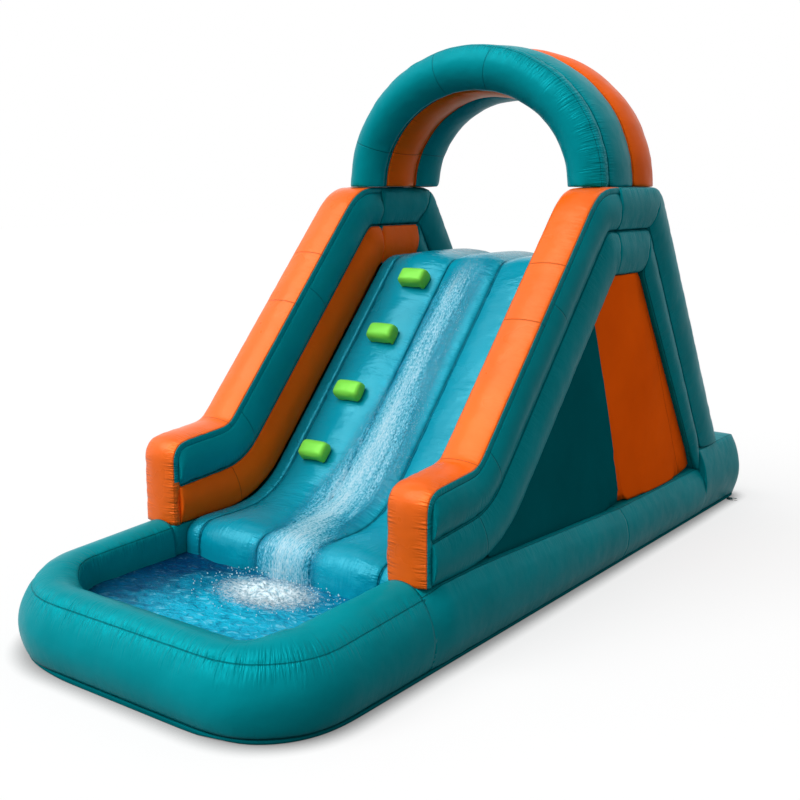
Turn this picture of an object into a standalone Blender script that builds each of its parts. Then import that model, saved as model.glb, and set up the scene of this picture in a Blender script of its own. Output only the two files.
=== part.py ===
"""An inflatable water slide for a garden.

A pool, a padded slide between two A-shaped side walls, and a triple arch over the top of the slide.
Units are metres. +Z is up, +X is the slide's right side and -Y is the pool end.
The origin lies on the ground, in the middle of the ground sheet.
Each chamber is one closed solid that stands for coated fabric round air, with a seam gap to the next.
"""

import math

import bmesh
import bpy
from mathutils import Matrix, Vector

# Gap at every seam, and how finely round stretches are stepped
SEAM_GAP = 0.0003
FACE_STEPS = 4
BEND_STEPS = 4
CORNER_STEPS = 5
ARCH_STEPS = 14
TURNED_STEPS = 32
TIE_STEPS = 8
EYE_STEPS = 6
HOLD_CORNER_STEPS = 2
FLAT_STRIP_STATIONS = 3
SHARP_ANGLE = math.radians(35)

# Ground sheet
SKIRT_HALF_WIDTH = 0.821
SKIRT_HALF_LENGTH = 2.069
POOL_CORNER_RADII = (0.46, 0.36)
REAR_CORNER_RADIUS = 0.10
SHEET_THICKNESS = 0.018

# Pool tube, measured inwards from the edge of the sheet
TUBE_WIDTH = 0.225
TUBE_SHOULDER = 0.042
TUBE_OUTER_CROWN = 0.047
TUBE_INNER_CROWN = 0.014
TUBE_TOP_CROWN = 0.034
POOL_INNER_SEAM_HEIGHT = 0.322
POOL_OUTER_SEAM_HEIGHT = 0.287
POOL_FOOT_RISE = 0.026
POOL_FLOOR_THICKNESS = 0.03

# Base tubes under the tower
TOWER_SHOULDER = 0.024
BASE_FRONT_HEIGHT = 0.335
BASE_REAR_HEIGHT = 0.275
BASE_LEVEL_LENGTH = 0.35
BASE_JOINT_FRONT = 0.46
BACK_BLOCK_FRONT = 1.465
BACK_BLOCK_HEIGHT = 0.385
BACK_BLOCK_REAR = 2.069
BACK_BLOCK_ROUNDING = 0.09

# Side walls: one edge line along the top seam sets their whole shape
WALL_FRONT = -1.205
WALL_INNER_SEAM = 0.596
WALL_WIDTH = 0.197
WALL_BULGE = 0.022
WALL_TOP_CROWN = 0.016
WALL_FRONT_HEIGHT = 0.712
WALL_KNEE = (-0.836, 0.742)
WALL_SHOULDER = 0.1526
WALL_TOP_HEIGHT = 1.84
WALL_END = 0.345
WALL_NOSE_RADIUS = 0.085
WALL_KNEE_RADIUS = 0.12
WALL_SHOULDER_RADIUS = 0.27
UPPER_DEPTH = 0.20
WALL_DEPTH = 0.41
LOWER_KNEE_RADIUS = 0.55
STRIP_THICKNESS = 0.03
NOSE_FAN_SHARE = 0.3
LEAST_RADIUS = 0.02

# Rear legs
LEG_MEETING = 0.690
LEG_FOOT_REACH = 0.0305
LEG_BEND_SHARE = 0.12
OUTER_LEG_DEPTH = 0.214
OUTER_LEG_RADIUS = 0.15
INNER_LEG_TOP_DEPTH = 0.155
INNER_LEG_FOOT_WIDTH = 0.034

# Side panels between the wall, the legs and the base
PANEL_INNER = 0.715
TEAL_PANEL_OUTER = 0.772
ORANGE_PANEL_OUTER = 0.766
PANEL_CROWN = 0.006
ORANGE_PANEL_CROWN = 0.022
PANEL_SPLIT_TOP = 0.17
PANEL_SPLIT_FOOT = 0.52
TEAL_PANEL_TIP_HEIGHT = 0.03

# Slide bed
LANE_SEAMS = (-0.51, -0.155, 0.155, 0.51)
LANE_DEPTH = 0.11
LANE_CROWN = 0.028
EDGE_CROWN = 0.006
NOSE_FRONT = -1.135
NOSE_RADIUS = 0.085
RUNOUT_HEIGHT = 0.352
RUNOUT_RADIUS = 0.42
BED_DEPTH_IN_WALL = 0.405
DECK_HEIGHT = 1.475
DECK_RADIUS = 0.13
DECK_REAR = 0.86
DECK_REAR_RADIUS = 0.11
LANE_TAIL = 0.16

# Back of the tower, and the webs inside that hold the bed to its shape
BACK_DEPTH = LANE_DEPTH
BACK_FOOT_REACH = 0.0946
BACK_CROWN = 0.020
BAFFLE_THICKNESS = 0.008

# Climbing holds
HOLD_COUNT = 4
HOLD_WIDTH = 0.156
HOLD_LENGTH = 0.095
HOLD_HEIGHT = 0.066
HOLD_BEVEL = 0.022
HOLD_FIRST = 0.270
HOLD_LAST = 0.176
HOLD_FIRST_OFFSET = -0.026
HOLD_DRIFT = 0.024

# Arch: three tubes side by side on the walls
ARCH_SEAMS = (0.262, 0.335, 0.595, 0.825)
ARCH_FACE_CROWN = 0.055
ARCH_FOOT_INNER = 0.572
ARCH_FOOT_OUTER = 0.746
ARCH_TOP_INNER = 0.490
ARCH_TOP_OUTER = 0.682
ARCH_INNER_CROWN = 0.026
ARCH_OUTER_CROWNS = (0.006, 0.016, 0.022)

# Spray tube just behind the edge of the deck, its feed down the back, and the hose coupling
SPRAY_RADIUS = 0.0125
SPRAY_CLEARANCE = 0.001
SPRAY_DROP = 0.115
SPRAY_BEND_RADIUS = 0.05
SPRAY_RIGHT_END = 0.46
FEED_END_RISE = 0.273
TAIL_LENGTH = 0.045
FLANGE_RADIUS = 0.0148
FLANGE_THICKNESS = 0.003
TAIL_BORE = 0.009
NUT_RADIUS = 0.0185
NUT_LENGTH = 0.028
NUT_LIP = 0.004
NUT_CLEARANCE = 0.0004
TIE_WIDTH = 0.02
TIE_BAND = 0.003
TIE_FOOT = 0.02
FEED_TIE_SHARES = (0.294, 0.784)

# Blower sleeve
SLEEVE_X = -0.30
SLEEVE_HEIGHT = 0.205
SLEEVE_RADIUS = 0.09
SLEEVE_WALL = 0.004
SLEEVE_LENGTH = 0.18
SLEEVE_FLARE = 0.008
STRAP_WIDTH = 0.025
STRAP_THICKNESS = 0.003
STRAP_DISTANCE = 0.05
BUCKLE_SIZE = (0.034, 0.036, 0.009)
BUCKLE_BEVEL = 0.002

# Anchor tabs and their D-rings at the rear corners
ANCHOR_Y = 1.90
RING_WIRE_RADIUS = 0.0025
RING_BAR = 0.040
RING_REACH = 0.032
RING_BAR_BEND = 0.004
RING_TIP_BEND = 0.014
TAB_WIDTH = 0.030
TAB_WALL = 0.0014
RING_CLEARANCE = 0.0004
TAB_REACH = 0.024
RING_HEIGHT = 0.0048

# A face without a crown, and the names of the pieces across the slide
FLAT = None
LANE_NAMES = ("left", "centre", "right")
BACK_NAMES = ("edge_left", "left", "centre", "right", "edge_right")

# Values worked out from the sizes above
WALL_OUTER_SEAM = WALL_INNER_SEAM + WALL_WIDTH
WALL_FACE = WALL_FRONT + WALL_TOP_CROWN + SEAM_GAP
CHANNEL_HALF_WIDTH = WALL_INNER_SEAM - WALL_BULGE - SEAM_GAP
FLOOR = SHEET_THICKNESS + SEAM_GAP
SLOPE = (Vector((WALL_SHOULDER, WALL_TOP_HEIGHT)) - Vector(WALL_KNEE)).normalized()
INNER_RAIL_FLOOR = WALL_TOP_HEIGHT - WALL_DEPTH
LEG_MEETING_HEIGHT = WALL_TOP_HEIGHT - UPPER_DEPTH
ON_BLOCK = BACK_BLOCK_HEIGHT + SEAM_GAP
LEG_LINE = Vector((BACK_BLOCK_FRONT + LEG_FOOT_REACH, ON_BLOCK))
LEG_LINE = (LEG_LINE - Vector((LEG_MEETING, LEG_MEETING_HEIGHT))).normalized()
LEG_NORMAL = Vector((-LEG_LINE.y, LEG_LINE.x))
BACK_LINE = Vector((BACK_BLOCK_FRONT + BACK_FOOT_REACH, ON_BLOCK))
BACK_LINE = (BACK_LINE - Vector((DECK_REAR, DECK_HEIGHT))).normalized()
BACK_NORMAL = Vector((-BACK_LINE.y, BACK_LINE.x))
RAIL_DEPTH = WALL_DEPTH - UPPER_DEPTH
LANE_WIDTHS = [far - near for near, far in zip(LANE_SEAMS, LANE_SEAMS[1:])]
LANE_MIDDLES = [(far + near) / 2 for near, far in zip(LANE_SEAMS, LANE_SEAMS[1:])]

COLOURS = {
    "teal": (0.012, 0.30, 0.31, 0.32, 0.0),
    "orange": (0.85, 0.14, 0.012, 0.32, 0.0),
    "blue": (0.008, 0.33, 0.45, 0.25, 0.0),
    "green": (0.10, 0.60, 0.03, 0.35, 0.0),
    "webbing": (0.02, 0.10, 0.11, 0.85, 0.0),
    "steel": (0.62, 0.62, 0.60, 0.30, 1.0),
    "plastic": (0.02, 0.02, 0.02, 0.45, 0.0),
}


def clear_scene():
    for thing in list(bpy.data.objects):
        bpy.data.objects.remove(thing)


def make_materials():
    made = {}
    for name, (red, green, blue, roughness, metallic) in COLOURS.items():
        material = bpy.data.materials.new(name)
        material.use_nodes = True
        shader = material.node_tree.nodes["Principled BSDF"]
        shader.inputs["Base Color"].default_value = (red, green, blue, 1.0)
        shader.inputs["Roughness"].default_value = roughness
        shader.inputs["Metallic"].default_value = metallic
        material.diffuse_color = (red, green, blue, 1.0)
        made[name] = material
    return made


def add_part(name, data, material):
    """Puts a mesh or curve in the scene as one named sub-part."""
    part = bpy.data.objects.new(name, data)
    data.materials.append(MATERIALS[material])
    PARTS.objects.link(part)
    return part


def side_name(name, side):
    return f"{name}_{'right' if side > 0 else 'left'}"


def crowned_outline(corners, crowns):
    """Points round four corners, each face pushed out along its normal by its crown at the middle.

    A FLAT face gets no points between its corners. The corners run anticlockwise, and crowns[i]
    belongs to the face from corner i to the next one.
    """
    points = []
    for index, crown in enumerate(crowns):
        start = Vector(corners[index])
        end = Vector(corners[(index + 1) % len(corners)])
        points.append(start)
        if crown is not FLAT:
            along = (end - start).normalized()
            outward = Vector((along.y, -along.x))
            for step in range(1, FACE_STEPS):
                share = step / FACE_STEPS
                swell = 4 * share * (1 - share) * crown
                points.append(start.lerp(end, share) + outward * swell)
    return points


def loft(name, rings, material):
    """One closed skin through rings of equal point counts, with flat ends."""
    mesh = bpy.data.meshes.new(name)
    build = bmesh.new()
    rows = [[build.verts.new(point) for point in ring] for ring in rings]
    for row, following in zip(rows, rows[1:]):
        for index in range(len(row)):
            after = (index + 1) % len(row)
            build.faces.new((row[index], row[after], following[after], following[index]))
    build.faces.new(rows[0])
    build.faces.new(rows[-1])
    bmesh.ops.recalc_face_normals(build, faces=build.faces)
    build.to_mesh(mesh)
    build.free()
    mesh.shade_smooth()
    mesh.set_sharp_from_angle(angle=SHARP_ANGLE)
    return add_part(name, mesh, material)


def upright_ring(lower, upper, x_range, crowns):
    """A crowned ring across X between two points (y, z) of a side view.

    crowns are those of the lower face, the outer (+X) face, the upper face and the inner face.
    """
    lower = Vector(lower)
    upper = Vector(upper)
    depth = (upper - lower).length
    rise = (upper - lower).normalized()
    near, far = x_range
    corners = ((near, 0), (far, 0), (far, depth), (near, depth))
    ring = []
    for across, along in crowned_outline(corners, crowns):
        place = lower + rise * along
        ring.append(Vector((across, place.x, place.y)))
    return ring


def loft_on_side(name, rings, material, side):
    """A loft for the right side, or its mirror image for the left, with the side in its name."""
    if side < 0:
        rings = [[Vector((-point.x, point.y, point.z)) for point in ring] for ring in rings]
    return loft(side_name(name, side), rings, material)


def beam(name, lower_line, upper_line, x_range, crowns, material, side=0):
    """A chamber between two side-view lines with equal numbers of points."""
    rings = [
        upright_ring(lower, upper, x_range, crowns)
        for lower, upper in zip(lower_line, upper_line)
    ]
    if side:
        return loft_on_side(name, rings, material, side)
    return loft(name, rings, material)


def rounded_line(corners, radii, steps=BEND_STEPS):
    """A line through corners, with an arc of each radius at the inner corners. Works in 2D and 3D."""
    corners = [Vector(corner) for corner in corners]
    line = [corners[0]]
    for before, corner, after, radius in zip(corners, corners[1:], corners[2:], radii):
        back = (before - corner).normalized()
        ahead = (after - corner).normalized()
        half_angle = back.angle(ahead) / 2
        start = corner + back * (radius / math.tan(half_angle))
        end = corner + ahead * (radius / math.tan(half_angle))
        middle = corner + (back + ahead).normalized() * (radius / math.sin(half_angle))
        sweep = math.pi - 2 * half_angle
        for step in range(steps + 1):
            turn = sweep * step / steps
            from_start = math.sin(sweep - turn) / math.sin(sweep)
            from_end = math.sin(turn) / math.sin(sweep)
            line.append(middle + (start - middle) * from_start + (end - middle) * from_end)
    line.append(corners[-1])
    return line


def moved_sideways(corners, distance):
    """The same corners for a line that lies this far to the right of its own direction."""
    corners = [Vector(corner) for corner in corners]
    normals = []
    for start, end in zip(corners, corners[1:]):
        along = (end - start).normalized()
        normals.append(Vector((along.y, -along.x)))
    moved = [corners[0] + normals[0] * distance]
    for before, after, corner in zip(normals, normals[1:], corners[1:]):
        mitre = (before + after).normalized()
        moved.append(corner + mitre * (distance / mitre.dot(before)))
    moved.append(corners[-1] + normals[-1] * distance)
    return moved


def on_line(point, direction, height):
    """The y at which a side-view line through a point reaches a height."""
    return point[0] + (height - point[1]) * direction.x / direction.y


def arc_points(x, y, radius, start):
    """Points on a quarter circle, from the start angle."""
    angles = [start + step / CORNER_STEPS * math.pi / 2 for step in range(CORNER_STEPS + 1)]
    return [(x + radius * math.cos(turn), y + radius * math.sin(turn)) for turn in angles]


def make_ground_sheet():
    left, right = POOL_CORNER_RADII
    rear = REAR_CORNER_RADIUS
    corners = (
        (-1, -1, left, math.pi),
        (1, -1, right, 1.5 * math.pi),
        (1, 1, rear, 0.0),
        (-1, 1, rear, 0.5 * math.pi),
    )
    outline = []
    for x_sign, y_sign, radius, start in corners:
        x = x_sign * (SKIRT_HALF_WIDTH - radius)
        y = y_sign * (SKIRT_HALF_LENGTH - radius)
        outline += arc_points(x, y, radius, start)
    curve = flat_curve("ground_sheet", [outline], SHEET_THICKNESS)
    sheet = add_part("ground_sheet", curve, "teal")
    sheet.location.z = SHEET_THICKNESS / 2


def flat_curve(name, outlines, thickness):
    """A filled 2D curve of a given thickness. Outlines after the first are holes."""
    curve = bpy.data.curves.new(name, "CURVE")
    curve.dimensions = "2D"
    curve.fill_mode = "BOTH"
    curve.extrude = thickness / 2
    for outline in outlines:
        spline = curve.splines.new("POLY")
        spline.points.add(len(outline) - 1)
        for point, (x, y) in zip(spline.points, outline):
            point.co = (x, y, 0, 1)
        spline.use_cyclic_u = True
    return curve


def pool_section(foot_share):
    """The pool tube's section as (distance outside the skirt line, height).

    foot_share is 0 round the front of the pool and 1 at the foot of the side walls, where it rises.
    """
    rise = POOL_FOOT_RISE * foot_share
    corners = (
        (-TUBE_WIDTH, FLOOR),
        (0, FLOOR),
        (-TUBE_SHOULDER, POOL_OUTER_SEAM_HEIGHT + rise),
        (-TUBE_WIDTH, POOL_INNER_SEAM_HEIGHT + rise / 2),
    )
    return crowned_outline(corners, (FLAT, TUBE_OUTER_CROWN, TUBE_TOP_CROWN, TUBE_INNER_CROWN))


def make_pool_tube():
    """Round the pool from the left wall's foot to the right one's."""
    back_y = WALL_FRONT - SEAM_GAP / 2
    stations = [(-SKIRT_HALF_WIDTH, back_y, math.pi, 1.0)]
    for side, radius, start in (
        (-1, POOL_CORNER_RADII[0], math.pi),
        (1, POOL_CORNER_RADII[1], 1.5 * math.pi),
    ):
        x = side * (SKIRT_HALF_WIDTH - radius)
        points = arc_points(x, radius - SKIRT_HALF_LENGTH, radius, start)
        for step, (x, y) in enumerate(points):
            stations.append((x, y, start + step / CORNER_STEPS * math.pi / 2, 0.0))
    stations.append((SKIRT_HALF_WIDTH, back_y, 2 * math.pi, 1.0))
    rings = []
    for x, y, angle, foot_share in stations:
        outward = Vector((math.cos(angle), math.sin(angle), 0))
        ring = [
            Vector((x, y, 0)) + outward * out + Vector((0, 0, height))
            for out, height in pool_section(foot_share)
        ]
        rings.append(ring)
    loft("pool_tube", rings, "teal")


def make_pool_floor():
    """The padded floor of the pool, inside the tube and in front of the slide's nose."""
    half_width = SKIRT_HALF_WIDTH - TUBE_WIDTH - TUBE_INNER_CROWN - SEAM_GAP
    front = -SKIRT_HALF_LENGTH + TUBE_WIDTH + TUBE_INNER_CROWN + SEAM_GAP
    back = NOSE_FRONT - LANE_CROWN - SEAM_GAP
    left_cut, right_cut = [radius - TUBE_WIDTH for radius in POOL_CORNER_RADII]
    outline = [
        (half_width, back),
        (-half_width, back),
        (-half_width, front + left_cut),
        (-half_width + left_cut, front),
        (half_width - right_cut, front),
        (half_width, front + right_cut),
    ]
    curve = flat_curve("pool_floor", [outline], POOL_FLOOR_THICKNESS)
    floor = add_part("pool_floor", curve, "blue")
    floor.location.z = FLOOR + POOL_FLOOR_THICKNESS / 2


def base_height(y):
    """Height of the base's top seam under the tower: level at first, then falling to the rear height."""
    level_end = WALL_FRONT + BASE_LEVEL_LENGTH
    share = (y - level_end) / (BASE_JOINT_FRONT - level_end)
    share = min(1.0, max(0.0, share))
    return BASE_FRONT_HEIGHT + (BASE_REAR_HEIGHT - BASE_FRONT_HEIGHT) * share


def make_base_sides():
    level_end = WALL_FRONT + BASE_LEVEL_LENGTH
    stretches = (
        ("base_side_front", (WALL_FRONT + SEAM_GAP / 2, level_end, BASE_JOINT_FRONT)),
        ("base_side_rear", (BASE_JOINT_FRONT + SEAM_GAP, BACK_BLOCK_FRONT - SEAM_GAP)),
    )
    for name, places in stretches:
        for side in (1, -1):
            rings = []
            for y in places:
                height = base_height(y)
                corners = (
                    (SKIRT_HALF_WIDTH - TUBE_WIDTH, FLOOR),
                    (SKIRT_HALF_WIDTH, FLOOR),
                    (SKIRT_HALF_WIDTH - TOWER_SHOULDER, height),
                    (SKIRT_HALF_WIDTH - TUBE_WIDTH, height),
                )
                outline = crowned_outline(corners, (FLAT, TUBE_OUTER_CROWN, FLAT, FLAT))
                rings.append([Vector((side * x, y, z)) for x, z in outline])
            loft(side_name(name, side), rings, "teal")


def rounded_block(name, size, bevel, segments, material):
    """A box primitive of a given size with its edges rounded."""
    mesh = bpy.data.meshes.new(name)
    build = bmesh.new()
    bmesh.ops.create_cube(build, size=1)
    bmesh.ops.scale(build, vec=size, verts=build.verts)
    build.to_mesh(mesh)
    build.free()
    block = add_part(name, mesh, material)
    rounding = block.modifiers.new("rounding", "BEVEL")
    rounding.width = bevel
    rounding.segments = segments
    rounding.limit_method = "NONE"
    return block


def make_base_back():
    """The wide block behind the tower, which carries the rear legs. Its rear end is rounded."""
    ends = [(BACK_BLOCK_FRONT, 0)]
    for step in range(BEND_STEPS):
        turn = math.pi / 2 * step / (BEND_STEPS - 1)
        y = BACK_BLOCK_REAR - BACK_BLOCK_ROUNDING * (1 - math.sin(turn))
        ends.append((y, BACK_BLOCK_ROUNDING * (1 - math.cos(turn))))
    rings = []
    for y, inset in ends:
        width = SKIRT_HALF_WIDTH - inset
        height = BACK_BLOCK_HEIGHT - inset
        corners = (
            (-width, FLOOR),
            (width, FLOOR),
            (width - TOWER_SHOULDER, height),
            (-width + TOWER_SHOULDER, height),
        )
        outline = crowned_outline(corners, (FLAT, TUBE_OUTER_CROWN, FLAT, TUBE_OUTER_CROWN))
        rings.append([Vector((x, y, z)) for x, z in outline])
    loft("base_back", rings, "teal")


def wall_seam():
    """Side-view corners of a wall's top seam, from the foot of its front face to the level rail."""
    return [
        Vector((WALL_FACE, BASE_FRONT_HEIGHT + SEAM_GAP)),
        Vector((WALL_FACE, WALL_FRONT_HEIGHT)),
        Vector(WALL_KNEE),
        Vector((WALL_SHOULDER, WALL_TOP_HEIGHT)),
        Vector((WALL_END, WALL_TOP_HEIGHT)),
    ]


def line_in_wall(depth):
    """The rounded line that lies this deep inside a wall's top seam and its front face."""
    radii = (
        WALL_NOSE_RADIUS - depth,
        WALL_KNEE_RADIUS + depth,
        max(WALL_SHOULDER_RADIUS - depth, LEAST_RADIUS),
    )
    return rounded_line(moved_sideways(wall_seam(), depth), radii)


def line_under_wall_top(depth, start_y):
    """The rounded line this deep under a wall's top seam, from start_y behind the front face."""
    corners = moved_sideways(wall_seam()[1:], depth)
    along = corners[1] - corners[0]
    corners[0] = corners[0] + along * ((start_y - corners[0].x) / along.x)
    radii = (WALL_KNEE_RADIUS + depth, max(WALL_SHOULDER_RADIUS - depth, LEAST_RADIUS))
    return rounded_line(corners, radii)


def wall_lines():
    """Side-view lines of the chambers in a wall, in pairs with equal numbers of points."""
    under_strip = STRIP_THICKNESS + SEAM_GAP
    start_y = WALL_FACE + under_strip
    upper_top = line_in_wall(under_strip)[1:]
    seam = line_under_wall_top(UPPER_DEPTH, start_y)
    # The lower line gets a point for each one in the rounded corner above it.
    upper_foot = even_line(seam[0], seam[0].lerp(seam[1], NOSE_FAN_SHARE), BEND_STEPS + 1)
    upper_foot += seam[1:]
    corner = moved_sideways(wall_seam(), WALL_DEPTH)[3]
    knee_height = BASE_FRONT_HEIGHT + SEAM_GAP
    knee = (on_line(corner, SLOPE, knee_height), knee_height)
    lower_foot = rounded_line(
        [(start_y, knee_height), knee, corner, (WALL_END, corner.y)],
        (LOWER_KNEE_RADIUS, LEAST_RADIUS),
    )
    return {
        "strip_outside": line_in_wall(0),
        "strip_inside": line_in_wall(STRIP_THICKNESS),
        "upper_top": upper_top,
        "upper_foot": upper_foot,
        "lower_top": line_under_wall_top(UPPER_DEPTH + SEAM_GAP, start_y),
        "lower_foot": lower_foot,
    }


def make_walls(lines):
    span = (WALL_INNER_SEAM, WALL_OUTER_SEAM)
    round_sides = (FLAT, WALL_BULGE, FLAT, WALL_BULGE)
    # The strip loses its crown where it levels out, so that the arch stands flat on it.
    count = len(lines["strip_outside"])
    strip_crowns = [(FLAT, FLAT, WALL_TOP_CROWN, FLAT)] * (count - FLAT_STRIP_STATIONS)
    strip_crowns += [(FLAT, FLAT, 0, FLAT)] * FLAT_STRIP_STATIONS
    for side in (1, -1):
        rings = [
            upright_ring(lower, upper, span, crowns)
            for lower, upper, crowns in zip(
                lines["strip_inside"], lines["strip_outside"], strip_crowns
            )
        ]
        loft_on_side("wall_strip", rings, "orange", side)
        beam("wall_upper", lines["upper_foot"], lines["upper_top"], span, round_sides, "teal", side)
        beam("wall_lower", lines["lower_foot"], lines["lower_top"], span, round_sides, "teal", side)


def leg_point(point, outwards, height):
    """On a line parallel to the rear legs, a distance outside a point, at a height."""
    start = Vector(point) + LEG_NORMAL * outwards
    return Vector((on_line(start, LEG_LINE, height), height))


def even_line(start, end, count):
    return [start.lerp(end, index / (count - 1)) for index in range(count)]


def rear_frame_points():
    """Side-view points where the rails and the rear legs meet, and where the legs stand."""
    meeting = Vector((LEG_MEETING, LEG_MEETING_HEIGHT))
    inner_line = meeting - LEG_NORMAL * SEAM_GAP
    rail_rear = leg_point(inner_line, 0, LEG_MEETING_HEIGHT - SEAM_GAP)
    leg_front = leg_point(meeting, -INNER_LEG_TOP_DEPTH, INNER_RAIL_FLOOR)
    base_top = BASE_REAR_HEIGHT + SEAM_GAP
    foot_rear = Vector((BACK_BLOCK_FRONT - SEAM_GAP, base_top))
    foot_front = Vector((foot_rear.x - INNER_LEG_FOOT_WIDTH, base_top))
    rear_knee = inner_line + LEG_LINE * ((foot_rear.x - inner_line.x) / LEG_LINE.x)
    share = (leg_front.y - rear_knee.y) / (leg_front.y - foot_front.y)
    front_knee = leg_front.lerp(foot_front, share)
    return {
        "meeting": meeting,
        "rail_rear": rail_rear,
        "leg_front": leg_front,
        "foot_rear": foot_rear,
        "foot_front": foot_front,
        "rear_knee": rear_knee,
        "front_knee": front_knee,
    }


def make_rear_frames(points):
    """The level rails on top of the walls, and the two legs behind each."""
    span = (WALL_INNER_SEAM, WALL_OUTER_SEAM)
    round_sides = (FLAT, WALL_BULGE, FLAT, WALL_BULGE)
    start = WALL_END + SEAM_GAP
    meeting = points["meeting"]
    corner = leg_point(meeting, OUTER_LEG_DEPTH, WALL_TOP_HEIGHT)
    foot = leg_point(meeting, OUTER_LEG_DEPTH, ON_BLOCK)
    outline = rounded_line([(start, WALL_TOP_HEIGHT), corner, foot], (OUTER_LEG_RADIUS,))
    # The rail and the outer leg meet on a mitre through the middle of the rounded corner.
    half = len(outline) // 2
    mitre = outline[half]
    along_mitre = (mitre - meeting).normalized()
    step_off = Vector((along_mitre.y, -along_mitre.x)) * (SEAM_GAP / 2)
    rail_top = outline[:half] + [mitre - step_off]
    rail_foot = even_line(
        Vector((start, LEG_MEETING_HEIGHT)), meeting - step_off, len(rail_top)
    )
    leg_top = [mitre + step_off] + outline[half + 1 :]
    leg_start = meeting + step_off
    leg_end = leg_point(meeting, 0, ON_BLOCK)
    leg_bend = leg_start.lerp(leg_end, LEG_BEND_SHARE)
    leg_foot = even_line(leg_start, leg_bend, len(leg_top) - 1) + [leg_end]
    clear = LEG_LINE * SEAM_GAP
    inner_top = [points["rail_rear"] + clear, points["rear_knee"], points["foot_rear"]]
    inner_foot = [points["leg_front"] + clear, points["front_knee"], points["foot_front"]]
    for side in (1, -1):
        beam("top_rail", rail_foot, rail_top, span, round_sides, "teal", side)
        beam("rear_leg_outer", leg_foot, leg_top, span, round_sides, "teal", side)
        beam(
            "inner_rail",
            [Vector((start, INNER_RAIL_FLOOR)), points["leg_front"]],
            [Vector((start, points["rail_rear"].y)), points["rail_rear"]],
            span,
            round_sides,
            "teal",
            side,
        )
        beam("rear_leg_inner", inner_foot, inner_top, span, round_sides, "teal", side)


def line_height(line, y):
    """Height of a side-view line at y."""
    for start, end in zip(line, line[1:]):
        if start.x <= y <= end.x:
            return start.y + (end.y - start.y) * (y - start.x) / (end.x - start.x)
    return line[-1].y


def line_reach(line, height):
    """The y at which a rising side-view line reaches a height."""
    for start, end in zip(line, line[1:]):
        if start.y <= height <= end.y and end.y > start.y:
            return start.x + (end.x - start.x) * (height - start.y) / (end.y - start.y)
    return line[-1].x


def make_side_panels(lines, points):
    """The teal triangle and the orange panel that close each side of the tower."""
    under = Vector((0, SEAM_GAP / SLOPE.x))
    seam = [point - under for point in lines["lower_foot"]]
    split_top = Vector((PANEL_SPLIT_TOP, line_height(seam, PANEL_SPLIT_TOP)))
    split_foot = Vector((PANEL_SPLIT_FOOT, base_height(PANEL_SPLIT_FOOT) + SEAM_GAP))
    tip_height = BASE_FRONT_HEIGHT + TEAL_PANEL_TIP_HEIGHT
    tip = Vector((line_reach(seam, tip_height), tip_height))
    edge = [tip]
    edge += [point for point in seam if tip.x < point.x < split_top.x]
    edge.append(split_top)
    low_places = [
        tip.x + (BASE_JOINT_FRONT - tip.x) * index / (len(edge) - 2)
        for index in range(len(edge) - 1)
    ]
    low_edge = [Vector((y, base_height(y) + SEAM_GAP)) for y in low_places]
    low_edge.append(split_foot)
    split_angle = math.atan2(split_top.y - split_foot.y, split_foot.x - split_top.x)
    gap = Vector((SEAM_GAP / math.sin(split_angle), 0))
    left = [split_foot + gap, split_top + gap]
    left += [point for point in seam if point.x > split_top.x + gap.x and point.x < WALL_END]
    right_top = points["leg_front"] - gap
    right_foot = points["foot_front"] - gap
    for side in (1, -1):
        beam(
            "teal_panel",
            low_edge,
            edge,
            (PANEL_INNER, TEAL_PANEL_OUTER),
            (FLAT, PANEL_CROWN, FLAT, FLAT),
            "teal",
            side,
        )
        rings = []
        for place in left:
            share = (place.y - right_foot.y) / (right_top.y - right_foot.y)
            right = right_foot.lerp(right_top, share).x
            corners = (
                (PANEL_INNER, place.x),
                (ORANGE_PANEL_OUTER, place.x),
                (ORANGE_PANEL_OUTER, right),
                (PANEL_INNER, right),
            )
            outline = crowned_outline(corners, (FLAT, ORANGE_PANEL_CROWN, FLAT, FLAT))
            rings.append([Vector((x, y, place.y)) for x, y in outline])
        loft_on_side("orange_panel", rings, "orange", side)


def bed_corners():
    """Side-view corners of the bed's top at its seams, from the nose's foot to the tail."""
    on_bed = moved_sideways(wall_seam()[2:4], BED_DEPTH_IN_WALL)[0]
    knee = (on_line(on_bed, SLOPE, RUNOUT_HEIGHT), RUNOUT_HEIGHT)
    brink = (on_line(on_bed, SLOPE, DECK_HEIGHT), DECK_HEIGHT)
    rear = (DECK_REAR, DECK_HEIGHT)
    tail = Vector(rear) + BACK_LINE * LANE_TAIL
    return [(NOSE_FRONT, FLOOR), (NOSE_FRONT, RUNOUT_HEIGHT), knee, brink, rear, tail]


def bed_line(distance):
    """The bed's side-view line at a distance below its top."""
    radii = (
        max(NOSE_RADIUS - distance, LEAST_RADIUS),
        RUNOUT_RADIUS + distance,
        max(DECK_RADIUS - distance, LEAST_RADIUS),
        max(DECK_REAR_RADIUS - distance, LEAST_RADIUS),
    )
    return rounded_line(moved_sideways(bed_corners(), distance), radii)


def lane_spans():
    half_gap = SEAM_GAP / 2
    return [(near + half_gap, far - half_gap) for near, far in zip(LANE_SEAMS, LANE_SEAMS[1:])]


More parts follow.
